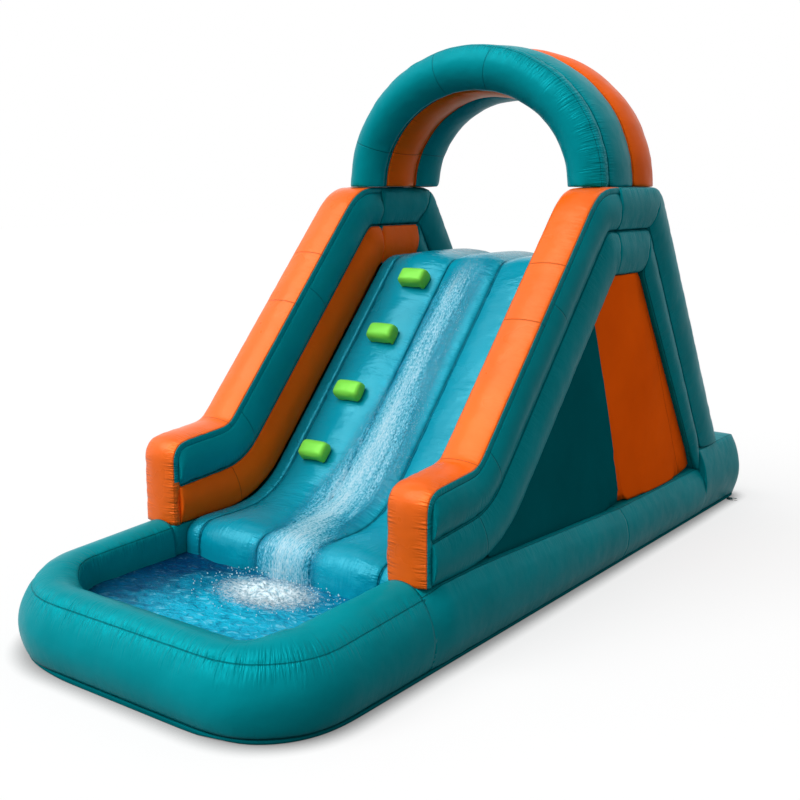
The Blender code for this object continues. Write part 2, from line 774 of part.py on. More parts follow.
def make_bed(lines):
    """Three lanes, and a narrow roll on each side that fills up to the walls."""
    top = bed_line(0)
    underside = bed_line(LANE_DEPTH)
    for name, span in zip(LANE_NAMES, lane_spans()):
        beam(f"lane_{name}", underside, top, span, (FLAT, FLAT, LANE_CROWN, FLAT), "blue")
    near = LANE_SEAMS[-1] + SEAM_GAP / 2
    for side in (1, -1):
        rings = []
        for lower, upper in zip(underside, top):
            # The roll keeps clear of the wall's bulge where it rises above the wall's lower seam.
            seam_height = line_height(lines["lower_foot"], upper.x)
            above = max(0.0, upper.y + EDGE_CROWN - seam_height)
            clearance = min(WALL_BULGE, WALL_BULGE * 4 * above / RAIL_DEPTH)
            if upper.x > DECK_REAR - DECK_REAR_RADIUS:
                clearance = WALL_BULGE
            far = WALL_INNER_SEAM - SEAM_GAP - clearance
            rings.append(upright_ring(lower, upper, (near, far), (FLAT, FLAT, EDGE_CROWN, FLAT)))
        loft_on_side("bed_edge", rings, "blue", side)


def back_points():
    """Side-view corners of the back channels: outside and inside, at the top and at the foot."""
    tail = bed_line(0)[-1] + BACK_LINE * SEAM_GAP
    inside = tail - BACK_NORMAL * BACK_DEPTH
    return (
        tail,
        inside,
        Vector((on_line(tail, BACK_LINE, ON_BLOCK), ON_BLOCK)),
        Vector((on_line(inside, BACK_LINE, ON_BLOCK), ON_BLOCK)),
    )


def make_back():
    """Channels that close the back between the rear legs."""
    outer_top, inner_top, outer_foot, inner_foot = back_points()
    spans = lane_spans()
    near = LANE_SEAMS[-1] + SEAM_GAP / 2
    spans.append((near, CHANNEL_HALF_WIDTH))
    spans.insert(0, (-CHANNEL_HALF_WIDTH, -near))
    for name, span in zip(BACK_NAMES, spans):
        crown = EDGE_CROWN if "edge" in name else BACK_CROWN
        beam(
            f"back_{name}",
            [inner_top, inner_foot],
            [outer_top, outer_foot],
            span,
            (FLAT, FLAT, crown, FLAT),
            "teal",
        )


def stand_in_side_view(part, x):
    """Turns a flat curve drawn in (y, z) to its place in a plane across X."""
    part.rotation_euler = (math.pi / 2, 0, math.pi / 2)
    part.location.x = x


def make_baffles():
    """Webs under the seams between the lanes, from the ground sheet to the bed and the back."""
    outline = bed_line(LANE_DEPTH + SEAM_GAP)
    inside_gap = BACK_NORMAL * SEAM_GAP
    _, inner_top, _, inner_foot = back_points()
    outline = outline[:-1]
    outline += [inner_top - inside_gap, inner_foot - inside_gap]
    outline.append(Vector((outline[-1].x, FLOOR)))
    for side in (1, -1):
        curve = flat_curve("inner_web", [outline], BAFFLE_THICKNESS)
        web = add_part(side_name("inner_web", side), curve, "webbing")
        stand_in_side_view(web, side * LANE_SEAMS[2])


def lane_height(offset, width, crown):
    """Height of a lane's faceted surface over its seams, at a distance to the side of its middle."""
    share = abs(offset) / width
    if share < 1 / FACE_STEPS:
        return crown * (1 - share)
    return crown * (1 / 2 - share) * (FACE_STEPS - 1)


def hold_ring(width, top, offset):
    """A hold's section: its underside follows the lane, its upper corners are rounded.

    offset is how far the hold's middle lies to the right of the lane's middle.
    """
    half = width / 2
    lane = LANE_WIDTHS[0]
    bend = math.copysign(lane / FACE_STEPS, offset) - offset
    places = sorted([-half, -offset, half] + ([bend] if abs(bend) < half else []))
    ring = [
        (place, lane_height(place + offset, lane, LANE_CROWN) + SEAM_GAP) for place in places
    ]
    for side in (1, -1):
        for step in range(HOLD_CORNER_STEPS + 1):
            turn = math.pi / 2 * step / HOLD_CORNER_STEPS
            if side < 0:
                turn = math.pi / 2 - turn
            across = half - HOLD_BEVEL + HOLD_BEVEL * math.cos(turn)
            ring.append((side * across, top - HOLD_BEVEL + HOLD_BEVEL * math.sin(turn)))
    return ring


def make_holds():
    """A column of grips up the left lane, drifting a little inwards with each step up."""
    knee, brink = [Vector(corner) for corner in bed_corners()[2:4]]
    spacing = ((brink - knee).length - HOLD_FIRST - HOLD_LAST) / (HOLD_COUNT - 1)
    normal = Vector((-SLOPE.y, SLOPE.x))
    height = LANE_CROWN + HOLD_HEIGHT
    half_length = HOLD_LENGTH / 2
    sections = (
        (-half_length, HOLD_WIDTH - HOLD_BEVEL, height - HOLD_BEVEL),
        (HOLD_BEVEL / 2 - half_length, HOLD_WIDTH, height - HOLD_BEVEL / 4),
        (HOLD_BEVEL - half_length, HOLD_WIDTH, height),
        (half_length - HOLD_BEVEL, HOLD_WIDTH, height),
        (half_length - HOLD_BEVEL / 2, HOLD_WIDTH, height - HOLD_BEVEL / 4),
        (half_length, HOLD_WIDTH - HOLD_BEVEL, height - HOLD_BEVEL),
    )
    for index in range(HOLD_COUNT):
        middle = knee + SLOPE * (HOLD_FIRST + spacing * index)
        offset = HOLD_FIRST_OFFSET + HOLD_DRIFT * index
        rings = []
        for along, width, top in sections:
            ring = []
            for across, rise in hold_ring(width, top, offset):
                place = middle + SLOPE * along + normal * rise
                ring.append(Vector((LANE_MIDDLES[0] + offset + across, place.x, place.y)))
            rings.append(ring)
        loft(f"hold_{index + 1}", rings, "green")


def arch_ring(turn, front, rear, crowns):
    direction = Vector((math.cos(turn), math.sin(turn)))
    inner = Vector((ARCH_FOOT_INNER * direction.x, ARCH_TOP_INNER * direction.y))
    outer = Vector((ARCH_FOOT_OUTER * direction.x, ARCH_TOP_OUTER * direction.y))
    depth = (outer - inner).length
    outward = (outer - inner).normalized()
    corners = ((0, front), (depth, front), (depth, rear), (0, rear))
    ring = []
    for reach, y in crowned_outline(corners, crowns):
        place = inner + outward * reach
        ring.append(Vector((place.x, y, WALL_TOP_HEIGHT + SEAM_GAP + place.y)))
    return ring


def make_arch():
    half_gap = SEAM_GAP / 2
    tubes = (
        ("arch_front", "teal", ARCH_FACE_CROWN, FLAT),
        ("arch_middle", "teal", FLAT, FLAT),
        ("arch_rear", "orange", FLAT, ARCH_FACE_CROWN),
    )
    for index, (name, material, front_crown, rear_crown) in enumerate(tubes):
        front = ARCH_SEAMS[index] + half_gap
        rear = ARCH_SEAMS[index + 1] - half_gap
        crowns = (front_crown, ARCH_OUTER_CROWNS[index], rear_crown, ARCH_INNER_CROWN)
        rings = [
            arch_ring(math.pi * step / ARCH_STEPS, front, rear, crowns)
            for step in range(ARCH_STEPS + 1)
        ]
        loft(name, rings, material)


def round_curve(name, path, radius, material, closed=False):
    """A round tube along a path of points, with closed ends."""
    curve = bpy.data.curves.new(name, "CURVE")
    curve.dimensions = "3D"
    curve.bevel_depth = radius
    curve.bevel_resolution = 2
    curve.use_fill_caps = True
    spline = curve.splines.new("POLY")
    spline.points.add(len(path) - 1)
    for point, place in zip(spline.points, path):
        point.co = (*place, 1)
    spline.use_cyclic_u = closed
    return add_part(name, curve, material)


def turned(name, profile, material):
    """A ring-shaped piece: a closed profile (radius, distance along the axis) turned about Z."""
    mesh = bpy.data.meshes.new(name)
    count = len(profile)
    edges = [(index, (index + 1) % count) for index in range(count)]
    mesh.from_pydata([(radius, 0, along) for radius, along in profile], edges, [])
    part = add_part(name, mesh, material)
    lathe = part.modifiers.new("lathe", "SCREW")
    lathe.axis = "Z"
    lathe.angle = 2 * math.pi
    lathe.steps = TURNED_STEPS
    lathe.render_steps = TURNED_STEPS
    lathe.use_merge_vertices = True
    lathe.merge_threshold = SEAM_GAP / 10
    lathe.use_normal_flip = True
    return part


def side_view_matrix(along):
    """Turns a flat curve so that its X runs along a side-view direction, and its normal along X."""
    return Matrix(((0, 0, 1), (along.x, -along.y, 0), (along.y, along.x, 0)))


def make_spray():
    """A spray tube behind the edge of the deck, its feed down the back, and the hose coupling."""
    lift = LANE_CROWN + SPRAY_RADIUS + SPRAY_CLEARANCE
    corner = moved_sideways(bed_corners()[3:], -lift)[1]
    start = corner + BACK_LINE * SPRAY_DROP
    end_height = BACK_BLOCK_HEIGHT + FEED_END_RISE
    end = Vector((on_line(corner, BACK_LINE, end_height), end_height))
    feed_x = LANE_MIDDLES[0]
    path = rounded_line(
        [(SPRAY_RIGHT_END, *start), (feed_x, *start), (feed_x, *end)], (SPRAY_BEND_RADIUS,)
    )
    round_curve("spray_tube", path, SPRAY_RADIUS, "plastic")
    spray_tie = tie_outline(SPRAY_CLEARANCE, 0)
    for name, x in (("spray_tie_right", LANE_MIDDLES[2]), ("spray_tie_middle", LANE_MIDDLES[1])):
        tie = add_part(name, flat_curve(name, [spray_tie], TIE_WIDTH), "webbing")
        tie.location = (x, *start)
        tie.rotation_euler = side_view_matrix(BACK_LINE).to_euler()
    feed_tie = tie_outline(
        SPRAY_CLEARANCE + LANE_CROWN - BACK_CROWN, BACK_CROWN / LANE_WIDTHS[0]
    )
    for index, share in enumerate(FEED_TIE_SHARES):
        name = f"feed_tie_{index + 1}"
        tie = add_part(name, flat_curve(name, [feed_tie], TIE_WIDTH), "webbing")
        tie.location = (feed_x, *corner.lerp(end, share))
        tie.rotation_euler.x = math.atan2(BACK_LINE.x, -BACK_LINE.y)
    flange_start = TAIL_LENGTH - FLANGE_THICKNESS
    tail = turned(
        "hose_tail",
        [
            (TAIL_BORE, 0),
            (SPRAY_RADIUS, 0),
            (SPRAY_RADIUS, flange_start),
            (FLANGE_RADIUS, flange_start),
            (FLANGE_RADIUS, TAIL_LENGTH),
            (TAIL_BORE, TAIL_LENGTH),
        ],
        "plastic",
    )
    nut_bore = FLANGE_RADIUS + NUT_CLEARANCE
    lip_bore = SPRAY_RADIUS + NUT_CLEARANCE
    nut = turned(
        "hose_nut",
        [
            (lip_bore, 0),
            (NUT_RADIUS, 0),
            (NUT_RADIUS, NUT_LENGTH),
            (nut_bore, NUT_LENGTH),
            (nut_bore, NUT_LIP),
            (lip_bore, NUT_LIP),
        ],
        "plastic",
    )
    down = Vector((0, *BACK_LINE))
    tail_start = end + BACK_LINE * SEAM_GAP
    for part, along in ((tail, 0), (nut, flange_start - NUT_LIP - NUT_CLEARANCE)):
        part.location = (feed_x, *(tail_start + BACK_LINE * along))
        part.rotation_euler = Vector((0, 0, 1)).rotation_difference(down).to_euler()


def tie_outline(foot_gap, fall):
    """A band over the tube with a flat foot on each side, round the tube's middle.

    foot_gap is the room between the tube and the surface, fall is how fast that surface drops.
    """
    inner = SPRAY_RADIUS + SEAM_GAP
    outer = inner + TIE_BAND
    floor = -SPRAY_RADIUS - foot_gap + SEAM_GAP

    def foot(across):
        return floor - abs(across) * fall

    half = outer + TIE_FOOT
    outline = [(half, foot(half)), (half, foot(half) + TIE_BAND), (outer, foot(outer) + TIE_BAND)]
    for step in range(TIE_STEPS + 1):
        turn = math.pi * step / TIE_STEPS
        outline.append((outer * math.cos(turn), outer * math.sin(turn)))
    outline += [(-outer, foot(outer) + TIE_BAND), (-half, foot(half) + TIE_BAND), (-half, foot(half))]
    outline.append((-inner, foot(inner)))
    for step in range(TIE_STEPS + 1):
        turn = math.pi * (1 - step / TIE_STEPS)
        outline.append((inner * math.cos(turn), inner * math.sin(turn)))
    outline.append((inner, foot(inner)))
    return outline


def make_blower_sleeve():
    """The sleeve a blower's outlet goes into, with the strap and buckle that clamp it."""
    outer = SLEEVE_RADIUS + SLEEVE_WALL
    flare_start = SLEEVE_LENGTH - STRAP_DISTANCE
    sleeve = turned(
        "blower_sleeve",
        [
            (SLEEVE_RADIUS, 0),
            (outer, 0),
            (outer, flare_start),
            (outer + SLEEVE_FLARE, SLEEVE_LENGTH),
            (SLEEVE_RADIUS + SLEEVE_FLARE, SLEEVE_LENGTH),
            (SLEEVE_RADIUS, flare_start),
        ],
        "teal",
    )
    strap_inner = outer + SEAM_GAP
    strap_outer = strap_inner + STRAP_THICKNESS
    strap = turned(
        "sleeve_strap",
        [
            (strap_inner, 0),
            (strap_outer, 0),
            (strap_outer, STRAP_WIDTH),
            (strap_inner, STRAP_WIDTH),
        ],
        "webbing",
    )
    rear = BACK_BLOCK_REAR + SEAM_GAP
    for part, along in ((sleeve, 0), (strap, STRAP_DISTANCE)):
        part.location = (SLEEVE_X, rear + along, SLEEVE_HEIGHT)
        part.rotation_euler.x = -math.pi / 2
    buckle = rounded_block("sleeve_buckle", Vector(BUCKLE_SIZE), BUCKLE_BEVEL, 2, "plastic")
    height = strap_outer + SEAM_GAP + BUCKLE_SIZE[2] / 2
    buckle.location = (
        SLEEVE_X,
        rear + STRAP_DISTANCE + STRAP_WIDTH / 2,
        SLEEVE_HEIGHT + height,
    )


def make_anchors():
    """A webbing tab on each side of the ground sheet, with a D-ring that swings in its eye."""
    eye = RING_WIRE_RADIUS + RING_CLEARANCE
    outer = eye + TAB_WALL
    half_bar = RING_BAR / 2
    for side in (1, -1):
        outline = [(0, outer)]
        for step in range(EYE_STEPS + 1):
            turn = math.pi / 2 - math.pi * step / EYE_STEPS
            outline.append((TAB_REACH + outer * math.cos(turn), outer * math.sin(turn)))
        outline.append((0, -outer))
        hole = []
        for step in range(2 * EYE_STEPS):
            turn = math.pi * step / EYE_STEPS
            hole.append((TAB_REACH + eye * math.cos(turn), eye * math.sin(turn)))
        name = side_name("anchor_tab", side)
        tab = add_part(name, flat_curve(name, [outline, hole], TAB_WIDTH), "webbing")
        edge = SKIRT_HALF_WIDTH + SEAM_GAP
        tab.location = (side * edge, ANCHOR_Y, RING_HEIGHT)
        tab.rotation_euler.x = math.pi / 2
        tab.scale.x = side
        path = rounded_line(
            [
                (0, 0, 0),
                (0, half_bar, 0),
                (side * RING_REACH, half_bar, 0),
                (side * RING_REACH, -half_bar, 0),
                (0, -half_bar, 0),
                (0, 0, 0),
            ],
            (RING_BAR_BEND, RING_TIP_BEND, RING_TIP_BEND, RING_BAR_BEND),
        )
        ring = round_curve(
            side_name("anchor_ring", side), path[:-1], RING_WIRE_RADIUS, "steel", True
        )
        ring.location = (side * (edge + TAB_REACH), ANCHOR_Y, RING_HEIGHT)


PARTS = None
MATERIALS = {}


def main():
    global PARTS
    clear_scene()
    PARTS = bpy.data.collections.new("inflatable_water_slide")
    bpy.context.scene.collection.children.link(PARTS)
    MATERIALS.update(make_materials())
    make_ground_sheet()
    make_pool_tube()
    make_pool_floor()
    make_base_sides()
    make_base_back()
    lines = wall_lines()
    make_walls(lines)
    points = rear_frame_points()
    make_rear_frames(points)
    make_side_panels(lines, points)
    make_bed(lines)
    make_back()
    make_baffles()
    make_holds()
    make_arch()
    make_spray()
    make_blower_sleeve()
    make_anchors()


main()
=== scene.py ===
# %% [markdown]
# # An inflatable water slide, dressed for its photograph
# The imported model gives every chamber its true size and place, as plain solids. This lesson
# turns those solids into taut coated fabric with seams and puckers, adds the running water,
# and sets up the light and the camera. All lengths are metres and +Z is up.

# %% Load the frame
import math
import random
import bmesh
import bpy
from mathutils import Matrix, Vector, noise
from mathutils.bvhtree import BVHTree
from mathutils.kdtree import KDTree


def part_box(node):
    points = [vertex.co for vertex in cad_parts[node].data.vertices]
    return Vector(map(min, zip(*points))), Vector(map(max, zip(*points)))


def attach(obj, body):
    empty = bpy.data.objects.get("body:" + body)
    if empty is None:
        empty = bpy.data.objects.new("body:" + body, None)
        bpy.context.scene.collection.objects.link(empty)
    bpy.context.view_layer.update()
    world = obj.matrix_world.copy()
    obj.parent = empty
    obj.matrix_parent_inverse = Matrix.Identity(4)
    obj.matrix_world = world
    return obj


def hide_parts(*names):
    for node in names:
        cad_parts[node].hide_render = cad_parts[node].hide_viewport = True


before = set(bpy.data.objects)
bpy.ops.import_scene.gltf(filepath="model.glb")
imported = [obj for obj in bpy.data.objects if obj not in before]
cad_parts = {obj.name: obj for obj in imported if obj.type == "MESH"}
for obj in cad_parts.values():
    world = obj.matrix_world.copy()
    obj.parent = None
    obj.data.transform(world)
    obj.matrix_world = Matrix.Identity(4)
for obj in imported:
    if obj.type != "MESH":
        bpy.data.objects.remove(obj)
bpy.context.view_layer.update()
bpy.ops.object.select_all(action="DESELECT")

# %% [markdown]
# ## The camera
# The photograph looks down a little at the pool from in front and from the slide's right, with
# a long lens. These values come from matching straight edges of the slide in the picture.

# %% Camera
CAMERA_PLACE = (3.128, -4.516, 1.843)
CAMERA_TILT = math.radians(79.255)
CAMERA_TURN = math.radians(36.533)
FOCAL_LENGTH, SENSOR_WIDTH = 50.634, 36.0


def placed(name, data):
    """A new object in the scene."""
    thing = bpy.data.objects.new(name, data)
    bpy.context.scene.collection.objects.link(thing)
    return thing


lens = bpy.data.cameras.new("camera")
lens.lens, lens.sensor_width = FOCAL_LENGTH, SENSOR_WIDTH
camera = placed("camera", lens)
camera.location = CAMERA_PLACE
camera.rotation_euler = (CAMERA_TILT, 0, CAMERA_TURN)
bpy.context.scene.camera = camera
print("camera at", CAMERA_PLACE)

# %% [markdown]
# ## A short way to write materials
# A material here is a small network of nodes that feeds one Principled shader. The classes
# below only shorten the writing: most methods add one node and give back its output. A pattern
# reads Object coordinates, so it stays on the piece from every side, or it reads a value that
# the mesh stores at each point.

# %% Recipe
class Network:
    """A tree of nodes in the making, with short ways to add them."""

    def __init__(self, tree):
        self.tree = tree

    def add(self, kind, links=None, **settings):
        node = self.tree.nodes.new(kind)
        for key, value in settings.items():
            setattr(node, key, value)
        for socket, source in (links or {}).items():
            if isinstance(source, bpy.types.NodeSocket):
                self.tree.links.new(source, node.inputs[socket])
            else:
                node.inputs[socket].default_value = source
        return node

    def maths(self, operation, *values):
        node = self.add("ShaderNodeMath", dict(enumerate(values)), operation=operation)
        return node.outputs[0]

    def times(self, first, second):
        return self.maths("MULTIPLY", first, second)

    def plus(self, value, share, rest):
        """A value times its share, added to the rest."""
        return self.maths("MULTIPLY_ADD", value, share, rest)

    def ramp(self, value, low, high, start=0.0, end=1.0):
        ends = {0: value, 1: low, 2: high, 3: start, 4: end}
        return self.add("ShaderNodeMapRange", ends).outputs[0]


class Recipe(Network):
    """A material in the making."""

    def __init__(self, name):
        self.material = bpy.data.materials.new(name)
        self.material.use_nodes = True
        super().__init__(self.material.node_tree)
        self.shader = self.tree.nodes["Principled BSDF"]

    def place(self, scale=(1, 1, 1)):
        """Object coordinates, stretched by a scale."""
        spot = self.add("ShaderNodeTexCoord").outputs["Object"]
        return self.add("ShaderNodeMapping", {"Vector": spot, "Scale": scale}).outputs[0]

    def stored(self, name):
        return self.add("ShaderNodeAttribute", attribute_name=name).outputs["Fac"]

    def distance(self, spot, centre):
        ends = {0: spot, 1: centre}
        return self.add("ShaderNodeVectorMath", ends, operation="DISTANCE").outputs["Value"]

    def spots(self, vector, scale=1.0, detail=2.0, rough=0.5, twist=0.0):
        """Soft noise from 0 to 1."""
        values = {"Vector": vector, "Scale": scale, "Detail": detail, "Roughness": rough,
                  "Distortion": twist}
        return self.add("ShaderNodeTexNoise", values).outputs["Fac"]

    def across(self, x, y=0.0, z=0.0):
        return self.add("ShaderNodeCombineXYZ", {0: x, 1: y, 2: z}).outputs[0]

    def blend(self, share, first, second):
        """A colour between two: each is a colour or an output."""
        ends = [(*c, 1.0) if isinstance(c, tuple) else c for c in (first, second)]
        values = {0: share, 6: ends[0], 7: ends[1]}
        return self.add("ShaderNodeMix", values, data_type="RGBA").outputs[2]

    def feed(self, output, socket):
        self.tree.links.new(output, self.shader.inputs[socket])

    def relief(self, height):
        """Sets the surface's small relief from a height in metres."""
        bump = self.add("ShaderNodeBump", {"Height": height, "Distance": 1.0, "Strength": 1.0})
        self.feed(bump.outputs[0], "Normal")

    def fix(self, **values):
        """Sets plain values on the shader's own sockets."""
        for name, value in values.items():
            self.shader.inputs[name.replace("_", " ")].default_value = value


print("material helper ready")

# %% [markdown]
# ## Coated fabric
# Every chamber is the same kind of stuff: woven polyester under a glossy vinyl coat. So one
# recipe serves all of them, with the colour as its only big difference. Three things make it
# look like inflated fabric. The coat is smooth and shiny. The colour drifts a little from
# place to place. And beside each seam the cloth is gathered, which shows as fine puckers that
# run away from the seam and fade out. The mesh stores what that needs: how far along the
# nearest seam a point lies, how far from it, and how hard that seam pulls. A second kind of
# seam runs round a chamber. It is a plain welded line, and only its distance is stored.

# %% Coated fabric
def shade_of(colour, share):
    """The same colour, lighter or darker."""
    return tuple(min(1.0, part * share) for part in colour)


def coated_fabric(name, colour, sheen, roughness=0.34, crumple=1.0, line_dark=0.62, shine=0.03,
                  metal=0.05, wet=False):
    """Glossy coated fabric with a faint weave, colour drift, seams and puckers beside them.

    sheen is the tint of its highlights. A coat this deep in colour shines in its own colour,
    so a small share of it answers light as a coloured metal does, and more so where the cloth
    is stretched into gathers. shine is the level of its white highlights.
    """
    made = Recipe(name)
    place = made.place()
    along = made.stored("seam_along")
    away = made.stored("seam_away")
    pull = made.stored("seam_pull")

    # Puckers: thin ridges that run away from the seam, in bunches of unequal length
    ridges = made.spots(made.across(made.times(along, 104.0), made.times(away, 10.0)))
    bunches = made.spots(made.across(made.times(along, 20.0)))
    reach = made.times(made.ramp(bunches, 0.32, 0.66, 0.036, 0.13), pull)
    fade = made.maths("DIVIDE", away, made.maths("ADD", reach, 0.004))
    fade = made.maths("SUBTRACT", 1.0, fade)
    fade = made.maths("POWER", made.maths("MAXIMUM", fade, 0.0), 1.2)
    strength = made.times(fade, pull)
    puckers = made.times(made.maths("SUBTRACT", ridges, 0.5), strength)

    # Fainter folds all along the seam
    folds = made.spots(made.across(made.times(along, 62.0), made.times(away, 5.0)), detail=3.0)
    folds = made.times(made.maths("SUBTRACT", folds, 0.5), made.ramp(away, 0.02, 0.085, 1.0, 0.0))

    # The seams: a thin groove at each
    main_line = made.ramp(away, 0.0010, 0.0034, 1.0, 0.0)
    round_line = made.ramp(made.stored("cross_away"), 0.0009, 0.0034, 1.0, 0.0)
    line = made.maths("MAXIMUM", main_line, round_line)
    inked = made.maths("MAXIMUM", made.times(main_line, line_dark), made.times(round_line, 0.5))

    # A broad soft wobble, small creases, and the weave under the coat
    wobble = made.spots(place, 6.0)
    creases = made.spots(place, 34.0, 3.0, 0.6)
    weave = made.spots(place, 900.0, 1.0)

    height = made.plus(puckers, 0.012, made.times(wobble, 0.008))
    height = made.plus(creases, 0.0007 * crumple, height)
    height = made.plus(folds, 0.0020 * crumple, height)
    height = made.plus(line, -0.0018, height)
    height = made.plus(weave, 0.0001, height)
    if wet:
        # Wet cloth carries shallow crosswise crumples where it is slack
        down = made.add("ShaderNodeSeparateXYZ", {0: place}).outputs[1]
        foot = made.maths("ABSOLUTE", made.maths("ADD", down, 0.62))
        foot = made.ramp(foot, 0.12, 0.34, 1.0, 0.0)
        patches = made.ramp(made.spots(place, 3.4, 2.0), 0.50, 0.62, 0.15, 0.9)
        rills = made.spots(made.place((9.0, 34.0, 34.0)), 1.0, 3.0, 0.55, 0.3)
        rills = made.times(rills, made.maths("MAXIMUM", patches, foot))
        height = made.plus(rills, 0.0085, height)
        # and over the nose of the bed it gathers into upright pleats
        pleats = made.spots(made.place((75.0, 6.0, 6.0)), 1.0, 2.0)
        nose = made.ramp(down, -0.88, -1.0)
        height = made.plus(made.times(pleats, nose), 0.0032, height)
    made.relief(height)

    # Colour: soft drift, painted shade in the valleys of the gathers, a dark line at the seam
    drift = made.ramp(made.spots(place, 2.3, 3.0), 0.3, 0.7)
    body = made.blend(drift, shade_of(colour, 0.9), shade_of(colour, 1.1))
    # Painted shade: the colour darkens in the valleys between the puckers
    dips = made.times(made.maths("SUBTRACT", 0.5, ridges), strength)
    painted_shade_and_seam_line = made.maths("MAXIMUM", made.ramp(dips, 0.0, 0.26, 0.0, 0.34), inked)
    made.feed(made.blend(painted_shade_and_seam_line, body, shade_of(colour, 0.25)), "Base Color")
    made.feed(made.ramp(wobble, 0.3, 0.7, roughness - 0.05, roughness + 0.05), "Roughness")
    made.feed(made.plus(strength, 0.22, metal), "Metallic")
    made.fix(Specular_IOR_Level=shine, Specular_Tint=(*sheen, 1.0))
    return made.material


print("fabric recipe ready")

# %% Fabrics
TEAL_COLOUR = (0.0008, 0.262, 0.305)
COOL, WARM, FRESH = (0.16, 0.85, 0.92), (1.0, 0.66, 0.46), (0.55, 1.0, 0.35)
TEAL = coated_fabric("teal_fabric", TEAL_COLOUR, COOL)
# A darker copy of teal: painted shade for the recessed teal side panels. The ground sheet wears
# it too.
TEAL_SHADED = coated_fabric("teal_shaded_fabric", shade_of(TEAL_COLOUR, 0.50), COOL, crumple=0.6,
                           shine=0.0)
ORANGE = coated_fabric("orange_fabric", (0.87, 0.132, 0.006), WARM, roughness=0.30,
                       line_dark=0.12, shine=0.34)
ORANGE_TUBE = coated_fabric("orange_tube_fabric", (0.93, 0.128, 0.006), WARM, line_dark=0.4,
                            shine=0.04)
ORANGE_PANEL = coated_fabric("orange_panel_fabric", (0.97, 0.112, 0.004), WARM, line_dark=0.3,
                             shine=0.0, metal=0.18)
BLUE = coated_fabric("blue_fabric", (0.001, 0.275, 0.385), (0.35, 0.9, 1.0), roughness=0.24,
                     shine=0.3, wet=True)
GREEN = coated_fabric("green_fabric", (0.20, 0.68, 0.07), FRESH, line_dark=0.3, shine=0.25)
print("fabrics", [material.name for material in bpy.data.materials])

# %% [markdown]
# ## Turning a solid into an inflated chamber
# A chamber is cut from flat panels and blown tight, so between its seams it is a smooth
# bulging surface, and at a seam it turns a tight corner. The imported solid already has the
# bulge in a few flat steps. The recipe is: merge its loose triangles, pair them into quads,
# cut long quads into even ones, mark the seams as creases, and let a Subdivision Surface
# round everything else. A crease that is less than full keeps the corner tight but soft. New
# points aren't put on the flat step but on the curve that the steps stand for, which takes
# its direction from the next step on each side.

# %% Even quads
SIDES = ("left", "right")
CORNER_TURN = math.radians(38)
SAME_POINT = 0.00002
LONG_ROW = 1.7
MOST_ROWS = 400


def edge_ring(start):
    """The edges met by stepping from an edge across quads to the opposite edges, both ways."""
    ring = [start]
    seen = {start}
    todo = [start]
    while todo:
        edge = todo.pop()
        for face in edge.link_faces:
            if len(face.verts) != 4:
                continue
            loop = next(item for item in face.loops if item.edge == edge)
            across = loop.link_loop_next.link_loop_next.edge
            if across not in seen:
                seen.add(across)
                ring.append(across)
                todo.append(across)
    return ring


def edge_beyond(vert, edge):
    """The edge reached by going straight on through a point, or None where rows end."""
    if len(vert.link_edges) != 4:
        return None
    near = {item for face in edge.link_faces for item in face.edges}
    onward = [item for item in vert.link_edges if item not in near]
    return onward[0] if len(onward) == 1 else None


def heading(vert, edge):
    """The direction in which an edge's curve leaves one of its ends."""
    ahead = edge.other_vert(vert).co - vert.co
    onward = edge_beyond(vert, edge)
    if onward is not None:
        behind = vert.co - onward.other_vert(vert).co
        if behind.angle(ahead, 0.0) < CORNER_TURN and ahead.length < 4 * behind.length:
            return (ahead + behind).normalized()
    return ahead.normalized()


def cut_ring(build, ring, cuts):
    """Cuts each edge of a ring, with the new points on its curve and not on its chord."""
    moves = []
    for edge in ring:
        first, last = edge.verts
        start, end = first.co.copy(), last.co.copy()
        out, back = heading(first, edge), -heading(last, edge)
        for step in range(1, cuts + 1):
            t = step / (cuts + 1)
            bow = (t - 1) ** 2 * t * (out - (end - start).normalized())
            bow += (t - 1) * t ** 2 * (back - (end - start).normalized())
            chord = start.lerp(end, t)
            moves.append((chord, chord + bow * (end - start).length))
    tree = KDTree(len(moves))
    for index, (chord, _) in enumerate(moves):
        tree.insert(chord, index)
    tree.balance()
    made = bmesh.ops.subdivide_edges(build, edges=ring, cuts=cuts, use_grid_fill=True)
    for vert in {item for item in made["geom_inner"] if isinstance(item, bmesh.types.BMVert)}:
        _, index, distance = tree.find(vert.co)
        if distance < SAME_POINT:
            vert.co = moves[index][1]


def even_out(build, target):
    """Cuts across every row of quads that is longer than the target length."""
    for _ in range(MOST_ROWS):
        done = set()
        cut = None
        for edge in build.edges:
            if edge in done:
                continue
            ring = edge_ring(edge)
            done.update(ring)
            length = sorted(item.calc_length() for item in ring)[len(ring) * 3 // 4]
            if length > LONG_ROW * target:
                cut = (ring, max(1, round(length / target) - 1))
                break
        if cut is None:
            return
        cut_ring(build, *cut)
        build.edges.ensure_lookup_table()


print("quad helpers ready")

# %% [markdown]
# ## Where the seams lie
# A seam is an edge of the solid that turns a corner in one of a few known planes. From there
# its row of edges can be followed on. Each point of the skin is then told how far along the
# nearest seam it lies and how far from it, which the shader and the gathers both need.

# %% Seams of a solid
PLANE_REACH = 0.0006


def on_planes(axis, *places):
    """A test for points that lie in one of several planes across an axis: it names the plane."""
    def test(point):
        for place in places:
            if abs(point[axis] - place) < PLANE_REACH:
                return place
        return None
    return test


def mark_seams(build, test, least_turn, carry_on):
    """Marks edges that turn a corner and lie in a seam plane, and their rows if asked."""
    for edge in build.edges:
        place = test(edge.verts[0].co) if edge.calc_face_angle(0.0) >= least_turn else None
        edge.seam = place is not None and test(edge.verts[1].co) == place
    todo = [edge for edge in build.edges if edge.seam] if carry_on else []
    while todo:
        edge = todo.pop()
        for vert in edge.verts:
            onward = edge_beyond(vert, edge)
            if onward is not None and not onward.seam:
                onward.seam = True
                todo.append(onward)


